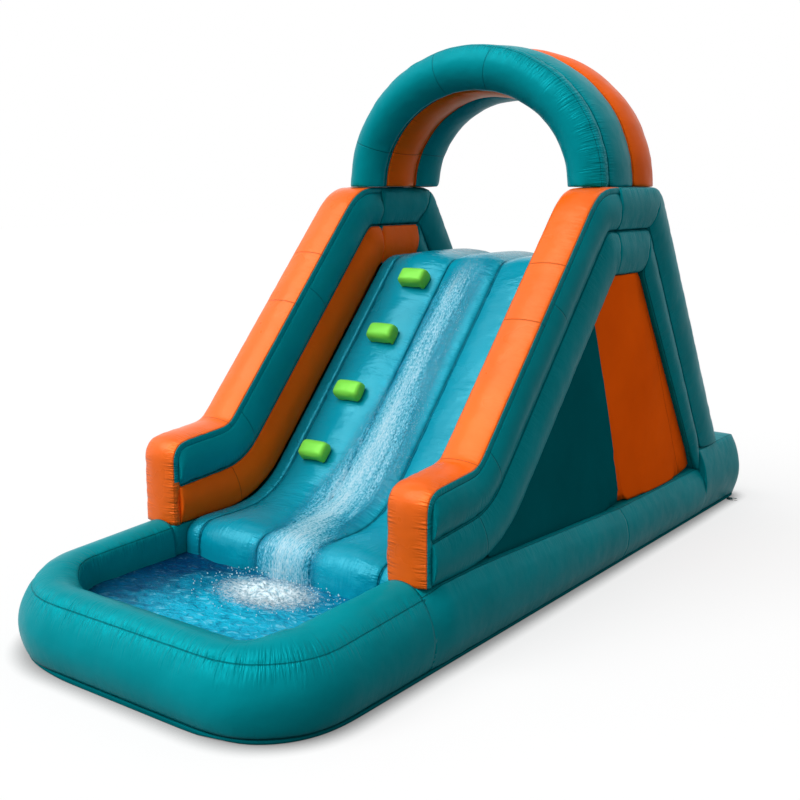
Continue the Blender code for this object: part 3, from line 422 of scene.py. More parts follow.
def chains(edges):
    """Joins edges end to end into lists of points, in the same order in every run."""
    left = dict.fromkeys(edges)
    lines = []
    while left:
        edge = left.popitem()[0]
        line = [edge.verts[0], edge.verts[1]]
        for end in (0, -1):
            while True:
                after = [e for e in line[end].link_edges if e in left]
                if len(after) != 1:
                    break
                del left[after[0]]
                other = after[0].other_vert(line[end])
                line.insert(0, other) if end == 0 else line.append(other)
        lines.append([vert.co.copy() for vert in line])
    return lines


print("seam finder ready, within", PLANE_REACH, "of a plane")

# %% Seam measures
def measure_seams(build, mesh, pull, cross):
    """Stores where each point lies beside its nearest seam, and its distance to a seam round."""
    samples = []
    for line in chains(edge for edge in build.edges if edge.seam):
        reached = 0.0
        for start, end in zip(line, line[1:]):
            length = (end - start).length
            for share in (0.0, 0.5):
                samples.append((start.lerp(end, share), reached + length * share))
            reached += length
        samples.append((line[-1], reached))
    tree = KDTree(max(1, len(samples)))
    for index, sample in enumerate(samples):
        tree.insert(sample[0], index)
    tree.balance()
    found = [tree.find(vert.co) if samples else (None, 0, 1.0) for vert in build.verts]
    values = {
        "seam_along": [samples[spot[1]][1] if samples else 0.0 for spot in found],
        "seam_away": [spot[2] for spot in found],
        "seam_pull": [pull(vert.co) if callable(pull) else pull for vert in build.verts],
        "cross_away": [min([1.0] + [abs((vert.co - Vector(point)).dot(normal))
                                    for point, normal in cross]) for vert in build.verts],
    }
    for name, numbers in values.items():
        mesh.attributes.new(name, "FLOAT", "POINT").data.foreach_set("value", numbers)
    return values


print("seam measures ready")

# %% [markdown]
# ## Gathers
# A seam draws its cloth in. So every seam lies a little deeper than the cloth beside it, and
# there the cloth is laid in folds, which fade out within a hand's breadth. They are made in
# the mesh itself, and only go inwards, so a chamber keeps its outline.

# %% Gathers
GATHER_DEPTH = 0.0042
GATHER_REACH = 0.075
GATHER_WAVES = 21.0
SEAM_SINK = 0.0012
SINK_REACH = 0.012


def gather(mesh, values):
    """Sinks the seams a little, and the cloth beside them in broad folds. Nothing moves out."""
    normals = [vert.normal.copy() for vert in mesh.vertices]
    measures = zip(values["seam_along"], values["seam_away"], values["seam_pull"])
    for vert, normal, (along, away, pull) in zip(mesh.vertices, normals, measures):
        near = max(0.0, 1.0 - away / GATHER_REACH)
        wave = noise.noise((along * GATHER_WAVES, away * 7.0, pull))
        fold = GATHER_DEPTH * pull * near * max(0.0, 0.3 + 1.4 * wave)
        vert.co -= normal * (fold + SEAM_SINK * max(0.0, 1.0 - away / SINK_REACH))


print("gathers up to", GATHER_DEPTH, "deep")

# %% [markdown]
# ## Skins
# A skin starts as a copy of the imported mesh. These helpers merge its points, round it, and let
# it stand for its node. The skins are kept by the names of their nodes for later steps.

# %% Skins
SKINS = {}


def searchable(meshes):
    """One shape made of several meshes, for rays and for finding what is near."""
    points, faces = [], []
    for mesh in meshes:
        start = len(points)
        points += [vert.co.copy() for vert in mesh.vertices]
        faces += [[start + index for index in face.vertices] for face in mesh.polygons]
    return BVHTree.FromPolygons(points, faces)


def merged_copy(node, name):
    """A copy of a node's mesh with its loose triangles merged and paired into quads."""
    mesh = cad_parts[node].data.copy()
    mesh.name = name
    build = bmesh.new()
    build.from_mesh(mesh)
    bmesh.ops.remove_doubles(build, verts=build.verts, dist=SAME_POINT)
    bmesh.ops.join_triangles(build, faces=build.faces, angle_face_threshold=math.radians(12),
                             angle_shape_threshold=math.radians(70))
    return mesh, build


def apply_modifier(skin, name):
    """Makes a modifier's result the object's own mesh."""
    bpy.ops.object.select_all(action="DESELECT")
    bpy.context.view_layer.objects.active = skin
    skin.select_set(True)
    bpy.ops.object.modifier_apply(modifier=name)
    skin.select_set(False)


def subdivide(skin):
    """Puts an object's mesh through one step of Subdivision Surface, and shades it smooth."""
    rounding = skin.modifiers.new("rounding", "SUBSURF")
    rounding.levels = rounding.render_levels = 1
    apply_modifier(skin, "rounding")
    for face in skin.data.polygons:
        face.use_smooth = True


def rounded(mesh, build):
    """A new object from a mesh in the making, subdivided once."""
    build.to_mesh(mesh)
    build.free()
    skin = placed(mesh.name, mesh)
    subdivide(skin)
    return skin


def wear(piece, *materials):
    """Gives a piece its materials in place of those of its node."""
    piece.data.materials.clear()
    for material in materials:
        piece.data.materials.append(material)


def stand_for(piece, node):
    """Puts a piece in its node's place on the slide."""
    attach(piece, "slide")
    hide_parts(node)


print("skin helpers ready")

# %% [markdown]
# ## Air pressure
# The cloth is simulated for twenty frames with air inside and no gravity, so a chamber bulges
# where nothing holds it. Points at a seam or against a neighbour are pinned. A limit on how
# far a point may move keeps the broad panels from ballooning.

# %% Air pressure
NEAR_NEIGHBOUR = 0.014
PRESSURE = 4.0
LAST_FRAME = 20
COMMON_SHARE = 95


def held_points(node, mesh):
    """The points of a chamber that can't move: at its seams, or against another solid."""
    around = searchable(solid.data for other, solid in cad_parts.items() if other != node)
    held = {vert.index for vert in mesh.vertices
            if around.find_nearest(vert.co, NEAR_NEIGHBOUR)[0] is not None}
    for edge in mesh.edges:
        if edge.use_seam:
            held.update(edge.vertices)
    return sorted(held)


def blow_tight(skin, node, most):
    """Simulates the cloth under air pressure. No point moves further than the given distance."""
    mesh = skin.data
    held = held_points(node, mesh)
    if len(held) == len(mesh.vertices):
        return
    before = [vert.co.copy() for vert in mesh.vertices]
    skin.vertex_groups.new(name="held").add(held, 1.0, "REPLACE")
    cloth = skin.modifiers.new("air", "CLOTH")
    cloth.settings.quality = 4
    cloth.settings.use_pressure = True
    cloth.settings.uniform_pressure_force = PRESSURE
    cloth.settings.vertex_group_mass = "held"
    cloth.settings.effector_weights.gravity = 0.0
    cloth.point_cache.frame_end = LAST_FRAME
    for step in range(1, LAST_FRAME + 1):
        bpy.context.scene.frame_set(step)
    apply_modifier(skin, "air")
    bpy.context.scene.frame_set(1)
    skin.vertex_groups.clear()
    moves = [vert.co - start for vert, start in zip(skin.data.vertices, before)]
    lengths = sorted(move.length for move in moves)
    common = lengths[len(lengths) * COMMON_SHARE // 100]
    share = min(1.0, most / max(common, 1e-6))
    for vert, start, move in zip(skin.data.vertices, before, moves):
        move = move * share
        if move.length > most:
            move *= most / move.length
        vert.co = start + move
    print(node, "blown tight, moved up to", round(min(most, lengths[-1]), 4))


print("air pressure", PRESSURE, "over frames 1 to", LAST_FRAME)

# %% One chamber
SEAM_CREASE = 0.42
SEAM_TURN = math.radians(25)
EDGE_TURN = math.radians(50)


def inflate(node, material, test=None, pull=0.6, target=0.05, cross=(), least_turn=18,
            other=None, carry_on=False, rest_crease=SEAM_CREASE, flush=None, air=0.010):
    """Makes the fabric chamber that stands for a node's solid.

    test finds its seams, pull says how hard they gather the cloth, and target is the length
    of its quads. cross lists planes (point, normal) where a seam runs round the chamber. other
    is a second material and a test of (place, normal) for the faces that have it. flush is
    such a test for faces sewn tight against a neighbour: their edges stay sharp. air is the
    furthest that the simulation may move a point.
    """
    mesh, build = merged_copy(node, f"{node}_skin")
    even_out(build, target)
    mark_seams(build, test or (lambda point: None), math.radians(least_turn), carry_on)
    creases = build.edges.layers.float.new("crease_edge")
    for edge in build.edges:
        turn = edge.calc_face_angle(0.0)
        if flush and turn > SEAM_TURN and any(
                flush(face.calc_center_median(), face.normal) for face in edge.link_faces):
            edge.seam = False
            edge[creases] = 1.0
        elif edge.seam and turn > SEAM_TURN:
            edge[creases] = SEAM_CREASE
        elif turn > EDGE_TURN:
            edge[creases] = rest_crease
    skin = rounded(mesh, build)
    if air:
        blow_tight(skin, node, air)
    subdivide(skin)
    build = bmesh.new()
    build.from_mesh(skin.data)
    for point, normal in cross:
        geometry = build.verts[:] + build.edges[:] + build.faces[:]
        bmesh.ops.bisect_plane(build, geom=geometry, plane_co=point, plane_no=normal, dist=0.0005)
    build.normal_update()
    if other:
        for face in build.faces:
            face.material_index = int(other[1](face.calc_center_median(), face.normal))
    wear(skin, material, *(other[:1] if other else ()))
    build.to_mesh(skin.data)
    values = measure_seams(build, skin.data, pull,
                           [(p, Vector(n).normalized()) for p, n in cross])
    build.free()
    gather(skin.data, values)
    stand_for(skin, node)
    SKINS[node] = skin
    return skin


print("chamber helper ready")

# %% [markdown]
# ## Walls, rails and legs
# Every chamber of the walls, rails and legs has its seams in the same two upright planes, so
# one pair of numbers finds them all. The lower chamber of each wall is two-coloured: orange
# towards the slide and teal outside, because it is sewn from two strips. A seam round a
# chamber shows where one length of cloth ends and the next begins.

# %% Walls, rails and legs
WALL_PLANES = on_planes(0, -0.793, -0.596, 0.596, 0.793)
UP_SLOPE = (0, 0.6691, 0.7432)
KNEE_CUT = ((0, -0.835, 0.75), (0, 0.86, 0.5))
STRIP_CUTS = (KNEE_CUT, ((0, -0.154, 1.51), UP_SLOPE), ((0, -0.36, 1.28), UP_SLOPE))
UPPER_CUTS = (((0, -0.70, 0.70), (0, 0.86, 0.5)), ((0, -0.2, 1.3), UP_SLOPE))
LOWER_CUTS = (((0, -0.80, 0.45), (0, 0.95, 0.3)),)


def faces_slide(place, normal):
    """True inside a wall's inner seam, and on the front end that the strip's foot covers."""
    return abs(place.x) < (0.70 if place.y < -1.15 else 0.5965)


def faces_wall(place, normal):
    """True on the side of a strip that lies on the wall, below it or behind it."""
    return normal.z - normal.y < -0.5 and abs(normal.x) < 0.5


def faces_strip(place, normal):
    """True where the upper chamber lies against the strip, over it or in front of it."""
    return normal.z - normal.y > 0.5 and abs(normal.x) < 0.5


def faces_foot(place, normal):
    """True on the front end of the lower chamber, against the foot of the strip."""
    return normal.y < -0.9 and place.y < -1.1


def strip_side(place, normal):
    """True on a strip's narrow sides, but not beside the orange half of the lower chamber."""
    beside_orange = abs(place.x) < 0.61 and place.y < -1.1 and place.z < 0.53
    return abs(normal.x) > 0.6 and not beside_orange


def foot_pull(place):
    """Seams pull harder on the upright foot of a strip than on its slope."""
    return 0.72 if place.y < -0.98 else 0.2


def within(value):
    """A value kept from 0 to 1."""
    return min(1.0, max(0.0, value))


def knee_pull(place):
    """The cloth bunches where the upper chamber bends from its slope to its level foot."""
    return 0.42 + 0.5 * max(0.0, 1.0 - abs(place.y + 0.84) / 0.16)


for side in SIDES:
    inflate(f"wall_strip_{side}", ORANGE, WALL_PLANES, pull=foot_pull,
            cross=STRIP_CUTS, other=(TEAL, strip_side), flush=faces_wall)
    inflate(f"wall_upper_{side}", TEAL, WALL_PLANES, pull=knee_pull, cross=UPPER_CUTS,
            flush=faces_strip)
    inflate(f"wall_lower_{side}", TEAL, WALL_PLANES, pull=0.36, cross=LOWER_CUTS,
            other=(ORANGE_TUBE, faces_slide), flush=faces_foot)
    inflate(f"inner_rail_{side}", TEAL, WALL_PLANES, pull=0.36,
            other=(ORANGE_TUBE, faces_slide))
    for node in ("top_rail", "rear_leg_outer", "rear_leg_inner"):
        inflate(f"{node}_{side}", TEAL, WALL_PLANES, pull=0.45)
print("wall chambers", len(SKINS))

# %% [markdown]
# ## Panels in the sides of the tower
# A teal triangle and an orange panel close each side under the slope. They lie a little deeper
# than the tubes round them, and the orange one has a seam near its rear edge. The teal one wears
# a darker teal, which is painted shade for its recess.

# %% Side panels
for side in SIDES:
    inflate(f"teal_panel_{side}", TEAL_SHADED)
    inflate(f"orange_panel_{side}", ORANGE_PANEL,
            cross=(((0, 1.02, 0.70), (0, 0.885, 0.465)),))
print("with side panels", len(SKINS))

# %% [markdown]
# ## Slide bed and the tower's back
# The bed is three crowned lanes between two narrow rolls. The cloth is held down along the
# seams between them, where the inner webs pull it in, so the lanes pucker towards each seam.

# %% Bed and back
LANE_PLANES = on_planes(0, -0.51015, -0.50985, -0.15515, -0.15485, 0.15485, 0.15515, 0.50985,
                        0.51015)
for node in ("lane_left", "lane_centre", "lane_right", "bed_edge_left", "bed_edge_right"):
    inflate(node, BLUE, LANE_PLANES, pull=0.5)
for node in ("back_left", "back_centre", "back_right", "back_edge_left", "back_edge_right"):
    inflate(node, TEAL, LANE_PLANES, pull=0.5)
print("with bed and back", len(SKINS))

# %% [markdown]
# ## Base, pool and ground sheet
# The base tubes have no seam in sight but the two along their lower and upper edges. The
# pool's tube is wide and flat on top, with one seam round its outer shoulder and one round
# its inner shoulder. There the cloth has to turn the tightest bend, so these two pucker most.

# %% Base
BASE_PLANES = on_planes(0, -0.797, 0.797, -0.821, 0.821)
for side in SIDES:
    for node in ("base_side_front", "base_side_rear"):
        inflate(f"{node}_{side}", TEAL, BASE_PLANES, pull=0.35, rest_crease=1.0)
inflate("base_back", TEAL, BASE_PLANES, pull=0.35, rest_crease=1.0)
print("with base", len(SKINS))

# %% Pool
POOL_SEAMS = {"lower": (0.0183,), "outer": (0.287, 0.313), "inner": (0.322, 0.335)}


def pool_seams(point):
    """Names the lower, outer or inner seam of the pool tube."""
    for name, places in POOL_SEAMS.items():
        if min(abs(point.z - place) for place in places) < PLANE_REACH:
            return name
    return None


def pool_pull(place):
    """The shoulder seams pull hardest round the pool's front corners. The lower one is slack."""
    if place.z < 0.13:
        return 0.12
    return 0.62 + 0.45 * within((-1.55 - place.y) / 0.3)


pool = inflate("pool_tube", TEAL, pool_seams, pull=pool_pull, least_turn=7,
               carry_on=True, rest_crease=1.0)
print("pool tube points", len(pool.data.vertices))

# %% Pool front
SHEET_SIZE = (0.821, 2.069)
CORNER_RADIUS = {"left": 0.46, "right": 0.36}
FRONT_DROP = 0.055


def eased(share):
    """A share from 0 to 1 that starts and ends gently."""
    return share * share * (3 - 2 * share)


def beside_edge(place):
    """How far inside the sheet's edge a place lies, and its turn from the side to the front."""
    radius = CORNER_RADIUS["left" if place.x < 0 else "right"]
    x = abs(place.x) - (SHEET_SIZE[0] - radius)
    y = -place.y - (SHEET_SIZE[1] - radius)
    if x > 0 and y > 0:
        return radius - math.hypot(x, y), math.atan2(y, x)
    if y > 0:
        return radius - y, math.pi / 2
    return SHEET_SIZE[0] - abs(place.x), 0.0


for vert in pool.data.vertices:
    inside, turn = beside_edge(vert.co)
    front = eased(within((math.degrees(turn) - 25) / 60))
    share = within((inside - 0.042) / 0.183)
    height = within((vert.co.z - 0.02) / 0.3)
    vert.co.z -= FRONT_DROP * front * share ** 1.2 * height
print("pool rim dips at the front by", FRONT_DROP)

# %% [markdown]
# The base's front ends are sewn to the pool tube, so their outlines are drawn in to match it.
# A ray from the middle of the tube finds how far out the pool's cloth lies, and a point of the
# base beyond that moves in, the more so the nearer it is to the joint.

# %% Joint between pool and base
JOINT_PLACE = -1.2055
JOINT_REACH = 0.14
JOINT_MOST = 0.03
BASE_ACROSS, BASE_HEIGHT = 0.70, 0.16

pool_end = searchable([pool.data])
for side in SIDES:
    for vert in SKINS[f"base_side_front_{side}"].data.vertices:
        share = within(1.0 - (vert.co.y - JOINT_PLACE) / JOINT_REACH)
        middle = math.copysign(BASE_ACROSS, vert.co.x)
        out = Vector((vert.co.x - middle, 0, vert.co.z - BASE_HEIGHT))
        if share == 0 or out.length < 0.02:
            continue
        start = Vector((middle, JOINT_PLACE - 0.02, BASE_HEIGHT))
        hit = pool_end.ray_cast(start, out.normalized())[0]
        if hit is not None:
            inwards = min(JOINT_MOST, max(0.0, out.length - (hit - start).length))
            vert.co -= out.normalized() * inwards * eased(share)
print("base ends drawn in over", JOINT_REACH)

# %% Pool floor and ground sheet
inflate("pool_floor", BLUE)
inflate("ground_sheet", TEAL_SHADED, target=0.1, air=0)
print("with floor and sheet", len(SKINS))

# %% [markdown]
# ## Climbing grips
# Four green pillows are glued to the left lane. They are small and hard, so they show smooth
# rounded corners and hardly a pucker.

# %% Holds
for number in range(1, 5):
    inflate(f"hold_{number}", GREEN, target=0.03, rest_crease=0.24)
print("with grips", len(SKINS))

# %% [markdown]
# ## The arch
# Three tubes stand side by side. The middle one is orange where it looks into the opening, and
# the rear one is teal there, which gives the arch its three-coloured soffit. Both swell a
# little into the opening. A few seams run round the tubes, in planes through the arch's axis.

# %% Arch
ARCH_PLANES = on_planes(1, 0.26215, 0.33485, 0.33515, 0.59485, 0.59515, 0.82485)
ARCH_AXIS = 1.84
ARCH_SWELL = {"arch_middle": 0.018, "arch_rear": 0.024}


def to_axis(place):
    """The direction from a place of the arch to the arch's axis."""
    return Vector((-place.x, 0, ARCH_AXIS - place.z)).normalized()


def round_the_arch(degrees):
    """A plane through the arch's axis, for a seam at this angle from its right foot."""
    turn = math.radians(degrees)
    return ((0, 0, ARCH_AXIS), (-math.sin(turn), 0, math.cos(turn)))


def faces_opening(place, normal):
    """True on the side of the arch that looks into its opening."""
    return normal.dot(to_axis(place)) > 0.55


def arch_pull(place):
    """The cloth gathers most on the right haunch of the arch."""
    return 0.45 + 0.6 * within((place.x + 0.1) / 0.4)


inflate("arch_front", TEAL, ARCH_PLANES, pull=arch_pull,
        cross=[round_the_arch(angle) for angle in (78, 107, 161)])
inflate("arch_middle", TEAL, ARCH_PLANES, pull=0.6, cross=[round_the_arch(161)],
        other=(ORANGE_TUBE, faces_opening))
inflate("arch_rear", ORANGE_TUBE, ARCH_PLANES, pull=0.4, cross=[round_the_arch(161)],
        other=(TEAL, faces_opening))
for node, swell in ARCH_SWELL.items():
    points = SKINS[node].data.vertices
    for vert, normal in zip(points, [vert.normal.copy() for vert in points]):
        inwards = to_axis(vert.co)
        vert.co += inwards * swell * max(0.0, normal.dot(inwards)) ** 0.5
print("chambers", len(SKINS), "points", sum(len(skin.data.vertices) for skin in SKINS.values()))

# %% [markdown]
# ## Webbing, hose and fittings
# The straps and tabs are woven webbing: two sets of threads that cross, which two wave
# patterns at right angles show. They are flat and thin, so they are finished from the packed
# shape with one soft step of subdivision. The fittings are hard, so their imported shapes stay
# and get better finishes: moulded plastic with a fine grain, and steel with drawn lines.

# %% Webbing
def woven_webbing(name, colour):
    """Flat woven strap: threads in two directions."""
    made = Recipe(name)
    threads = []
    for direction in ("X", "DIAGONAL"):
        values = {"Vector": made.place(), "Scale": 210.0, "Distortion": 0.6}
        wave = made.add("ShaderNodeTexWave", values, bands_direction=direction)
        threads.append(wave.outputs["Fac"])
    height = made.times(*threads)
    made.relief(made.times(height, 0.0006))
    made.feed(made.blend(height, shade_of(colour, 0.55), shade_of(colour, 1.5)), "Base Color")
    made.feed(made.ramp(made.spots(made.place(), 40.0), 0.3, 0.7, 0.65, 0.85), "Roughness")
    made.fix(Specular_IOR_Level=0.25)
    return made.material


WEBBING = woven_webbing("webbing", (0.02, 0.10, 0.11))


def strap(node, width):
    """A flat strap or tab in place of its node, and its length from its width and area."""
    mesh, build = merged_copy(node, f"{node}_strap")
    creases = build.edges.layers.float.new("crease_edge")
    for edge in build.edges:
        if edge.calc_face_angle(0.0) > math.radians(35):
            edge[creases] = 0.8
    piece = rounded(mesh, build)
    wear(piece, WEBBING)
    stand_for(piece, node)
    half = sum(face.area for face in piece.data.polygons) / 2
    print(node, "strap", width, "by", round(half / width, 3))
    return piece, half / width


for node in ("feed_tie_1", "feed_tie_2", "spray_tie_middle", "spray_tie_right"):
    piece, length = strap(node, 0.02)
piece, length = strap("sleeve_strap", 0.025)
for side in SIDES:
    piece, length = strap(f"anchor_tab_{side}", 0.03)

# %% [markdown]
# ## Inner webs
# Two long webs hold the bed to its shape from inside. Nobody sees them, but they are there,
# each a single sheet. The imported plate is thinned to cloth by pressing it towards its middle.

# %% Inner webs
WEB_THINNED = 0.12

for side, middle in (("left", -0.155), ("right", 0.155)):
    mesh, build = merged_copy(f"inner_web_{side}", f"inner_web_{side}_sheet")
    for vert in build.verts:
        vert.co.x = middle + (vert.co.x - middle) * WEB_THINNED
    build.normal_update()
    flat_area = sum(face.calc_area() for face in build.faces if abs(face.normal.x) > 0.9) / 2
    build.to_mesh(mesh)
    build.free()
    web = placed(mesh.name, mesh)
    wear(web, WEBBING)
    stand_for(web, f"inner_web_{side}")
    low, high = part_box(f"inner_web_{side}")
    print(web.name, "area", round(flat_area, 2))

# %% [markdown]
# ## Blower sleeve
# A soft duct hangs out of the back for the blower. A strap draws its neck in, so long folds
# run through it. They are pressed in along the duct, and never out, so it keeps its size.

# %% Blower sleeve
sleeve = inflate("blower_sleeve", TEAL, target=0.02)
low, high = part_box("blower_sleeve")
STRAP_PLACE = 2.131
SLEEVE_AXIS = ((low[0] + high[0]) / 2, (low[2] + high[2]) / 2)
for vert in sleeve.data.vertices:
    x, z = vert.co.x - SLEEVE_AXIS[0], vert.co.z - SLEEVE_AXIS[1]
    turn = math.atan2(z, x)
    fold = 0.5 + 0.5 * math.sin(13 * turn + 2.2 * noise.noise((2 * turn, 8 * vert.co.y, 0)))
    reach = max(0.0, 1.0 - abs(vert.co.y - STRAP_PLACE) / 0.085)
    press = 1.0 - 0.07 * fold * reach if math.hypot(x, z) > 0.07 else 1.0
    vert.co.x = SLEEVE_AXIS[0] + x * press
    vert.co.z = SLEEVE_AXIS[1] + z * press
print("sleeve folds", len(sleeve.data.vertices))

# %% Spray tube
def moulded(name, colour, roughness, grain=0.0003):
    """Moulded plastic with a fine grain and slight handling marks."""
    made = Recipe(name)
    marks = made.spots(made.place(), 26.0, 4.0, 0.65)
    fine = made.spots(made.place(), 1400.0, 1.0)
    made.relief(made.times(fine, grain))
    made.feed(made.blend(marks, shade_of(colour, 0.8), shade_of(colour, 1.35)), "Base Color")
    made.feed(made.ramp(marks, 0.3, 0.7, roughness - 0.08, roughness + 0.12), "Roughness")
    return made.material


HOSE = moulded("hose_vinyl", (0.012, 0.055, 0.075), 0.38)
mesh, build = merged_copy("spray_tube", "spray_hose")
even_out(build, 0.02)
hose = rounded(mesh, build)
wear(hose, HOSE)
stand_for(hose, "spray_tube")
print("spray tube", len(hose.data.polygons), "faces")

# %% Hard fittings
PLASTIC = moulded("black_plastic", (0.018, 0.018, 0.02), 0.42)
steel = Recipe("ring_steel")
drawn = steel.spots(steel.place((300.0, 40.0, 300.0)), 1.0, 3.0)
steel.relief(steel.times(drawn, 0.0001))
steel.feed(steel.blend(drawn, (0.48, 0.48, 0.47), (0.72, 0.72, 0.70)), "Base Color")
steel.feed(steel.ramp(drawn, 0.3, 0.7, 0.22, 0.42), "Roughness")
steel.fix(Metallic=1.0)
FITTINGS = {
    "hose_nut": PLASTIC, "hose_tail": PLASTIC, "sleeve_buckle": PLASTIC,
    "anchor_ring_left": steel.material, "anchor_ring_right": steel.material,
}
for node, finish in FITTINGS.items():
    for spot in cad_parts[node].material_slots:
        spot.material = finish
print("fittings", list(FITTINGS))

# %% [markdown]
# ## Water in the pool
# The pool holds a shallow sheet of water. Its edge is wherever the cloth is at that height, so
# rays go out level from the middle until they meet the cloth, and the water's outline joins
# the places they hit. Rings inside that outline give it points to ripple with.

# %% Pool water
BED = ("lane_left", "lane_centre", "lane_right", "bed_edge_left", "bed_edge_right")
BASIN = ("pool_tube", "base_side_front_left", "base_side_front_right", *BED)
WATER_LEVEL = 0.20
WATER_MIDDLE = Vector((0.0, -1.48, WATER_LEVEL))
SPLASH = Vector((0.08, -1.32, WATER_LEVEL))
SPOKES, RINGS = 360, 90


def ripple(x, y):
    """Height of the water over its level: small waves, and rings round the splash."""
    waves = noise.noise((x * 9, y * 12, 0.3)) * 0.5 + noise.noise((x * 24, y * 30, 4.1)) * 0.3
    away = math.hypot(x - SPLASH.x, y - SPLASH.y)
    rings = math.sin(away * 62 + 2.5 * noise.noise((x * 7, y * 7, 9))) * math.exp(-away / 0.2)
    return 0.006 * waves + 0.007 * rings


def fan(build, centre, rings):
    """Joins a point to rings of points round it."""
    count = len(rings[0])
    for spoke in range(count):
        after = (spoke + 1) % count
        build.faces.new((centre, rings[0][spoke], rings[0][after]))
        for inner, outer in zip(rings, rings[1:]):
            build.faces.new((inner[spoke], outer[spoke], outer[after], inner[after]))
    build.normal_update()


basin = searchable(SKINS[node].data for node in BASIN)
build = bmesh.new()
outline = []
for spoke in range(SPOKES):
    turn = 2 * math.pi * spoke / SPOKES
    hit = basin.ray_cast(WATER_MIDDLE, Vector((math.cos(turn), math.sin(turn), 0)))
    outline.append(hit[3] + 0.006 if hit[0] is not None else 0.5)
rings = []
for ring in range(1, RINGS + 1):
    row = []
    for spoke, reach in enumerate(outline):
        turn = 2 * math.pi * spoke / SPOKES
        x = WATER_MIDDLE.x + math.cos(turn) * reach * ring / RINGS
        y = WATER_MIDDLE.y + math.sin(turn) * reach * ring / RINGS
        row.append(build.verts.new((x, y, WATER_LEVEL + ripple(x, y))))
    rings.append(row)
fan(build, build.verts.new(WATER_MIDDLE), rings)
print("pool water reaches", round(min(outline), 3), "to", round(max(outline), 3))

# %% [markdown]
# The water's colour carries painted light and shade. Painted shade makes it navy at the back left
# and along the left wall, and a painted glow makes it a vivid blue in the middle, where light
# would come back from the floor. Small bright nets of painted light, painted shade in the wave
# troughs and painted glints on the wave tops break it up.

# %% Pool water finish
made = Recipe("pool_water")
spot = made.place()
corner = made.distance(spot, (-0.60, -1.12, WATER_LEVEL))
bright = made.distance(made.place((0.62, 1.25, 1.0)), (0.04, -2.02, WATER_LEVEL))
chop = made.spots(made.place((22.0, 33.0, 10.0)), 1.0, 4.0, 0.62, 0.8)
# Nets of painted light, which also break up the painted shade and the roughness
net = made.spots(made.place((7.0, 11.0, 10.0)), 1.0, 3.0, 0.55, 1.2)
# Painted shade: the water darkens towards the back-left corner and along the left wall
painted_lightness = made.plus(net, 0.3, made.maths("SUBTRACT", corner, 0.15))
out_of_wall_shade = made.add("ShaderNodeSeparateXYZ", {0: spot}).outputs[0]
out_of_wall_shade = made.ramp(made.plus(net, 0.25, out_of_wall_shade), -0.30, 0.0)
painted_lightness = made.times(painted_lightness, made.plus(out_of_wall_shade, 0.75, 0.25))
colour = made.blend(made.ramp(painted_lightness, 0.12, 0.66), (0.0004, 0.028, 0.095), (0.001, 0.19, 0.34))
# Painted light: a vivid glow in the middle, as if light came back from the floor
glow = made.ramp(made.plus(net, -0.45, bright), -0.15, 0.30, 1.0, 0.0)
glow = made.times(glow, made.plus(out_of_wall_shade, 0.8, 0.15))
colour = made.blend(glow, colour, (0.003, 0.46, 0.68))
# Painted shade in the wave troughs, then painted glints on the wave tops
colour = made.blend(made.ramp(chop, 0.36, 0.48, 0.55, 0.0), colour, (0.0004, 0.085, 0.20))
glints = made.times(made.ramp(chop, 0.57, 0.68), made.plus(out_of_wall_shade, 0.75, 0.15))
colour = made.blend(made.times(glints, 0.55), colour, (0.30, 0.78, 0.92))
made.feed(colour, "Base Color")
made.relief(made.times(chop, 0.013))
made.feed(made.ramp(net, 0.3, 0.7, 0.06, 0.14), "Roughness")
made.fix(Specular_IOR_Level=0.07, Specular_Tint=(0.4, 0.85, 1.0, 1.0))
POOL_WATER = made.material


def finish_water(build, name, material):
    """Turns a mesh in the making into a water piece that belongs to the slide."""
    mesh = bpy.data.meshes.new(name)
    for face in build.faces:
        face.smooth = True
    build.to_mesh(mesh)
    build.free()
    mesh.materials.append(material)
    piece = placed(name, mesh)
    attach(piece, "slide")


finish_water(build, "pool_water", POOL_WATER)
print("pool water made")

# %% [markdown]
# ## The stream
# Water comes out of the tube behind the deck, spreads over the centre lane and falls over the
# nose of the bed into the pool. It is a ribbon laid on the cloth. Its two edges wander as in
# the photograph, and so does its white core. For each point a ray goes in towards the bed, and
# the ribbon lies just above the place it hits. The shader needs a few numbers: how far down the
# stream a point is, how far across, and how far from the middle of the core.

# %% Stream
BED_LINE = [(0.90, 1.42), (0.80, 1.475), (0.4268, 1.475), (0.3739, 1.4638), (0.3302, 1.432),
            (-0.517, 0.491), (-0.5823, 0.4322), (-0.6583, 0.3883), (-0.7418, 0.3612),
            (-0.8292, 0.352), (-1.05, 0.352), (-1.0825, 0.3455), (-1.1101, 0.3271),
            (-1.1285, 0.2995), (-1.135, 0.267), (-1.135, WATER_LEVEL - 0.01)]
LEFT_EDGE = [(0.62, -0.06), (0.335, -0.115), (0.2, -0.175), (0.0, -0.182), (-0.15, -0.19),
             (-0.30, -0.214), (-0.455, -0.24), (-0.606, -0.30), (-0.75, -0.27), (-0.90, -0.22),
             (-1.08, -0.175), (-1.2, -0.235)]
RIGHT_EDGE = [(0.62, 0.08), (0.343, 0.129), (0.235, 0.124), (0.024, 0.114), (-0.126, 0.128),
              (-0.27, 0.142), (-0.41, 0.166), (-0.55, 0.156), (-0.66, 0.13), (-0.87, 0.15),
              (-1.0, 0.20), (-1.2, 0.23)]
CORE_MIDDLE = [(0.62, 0.01), (0.34, 0.005), (0.23, -0.03), (-0.14, -0.036), (-0.435, -0.046),
               (-0.58, -0.08), (-0.80, -0.07), (-0.98, -0.005), (-1.08, 0.03), (-1.2, 0.0)]
CORE_HALF = [(0.62, 0.05), (0.34, 0.083), (0.23, 0.095), (0.0, 0.075), (-0.14, 0.08),
             (-0.29, 0.10), (-0.435, 0.12), (-0.58, 0.14), (-0.80, 0.11), (-1.2, 0.12)]
STREAM_START = 0.5
STREAM_STEP = 0.012
ACROSS = 64


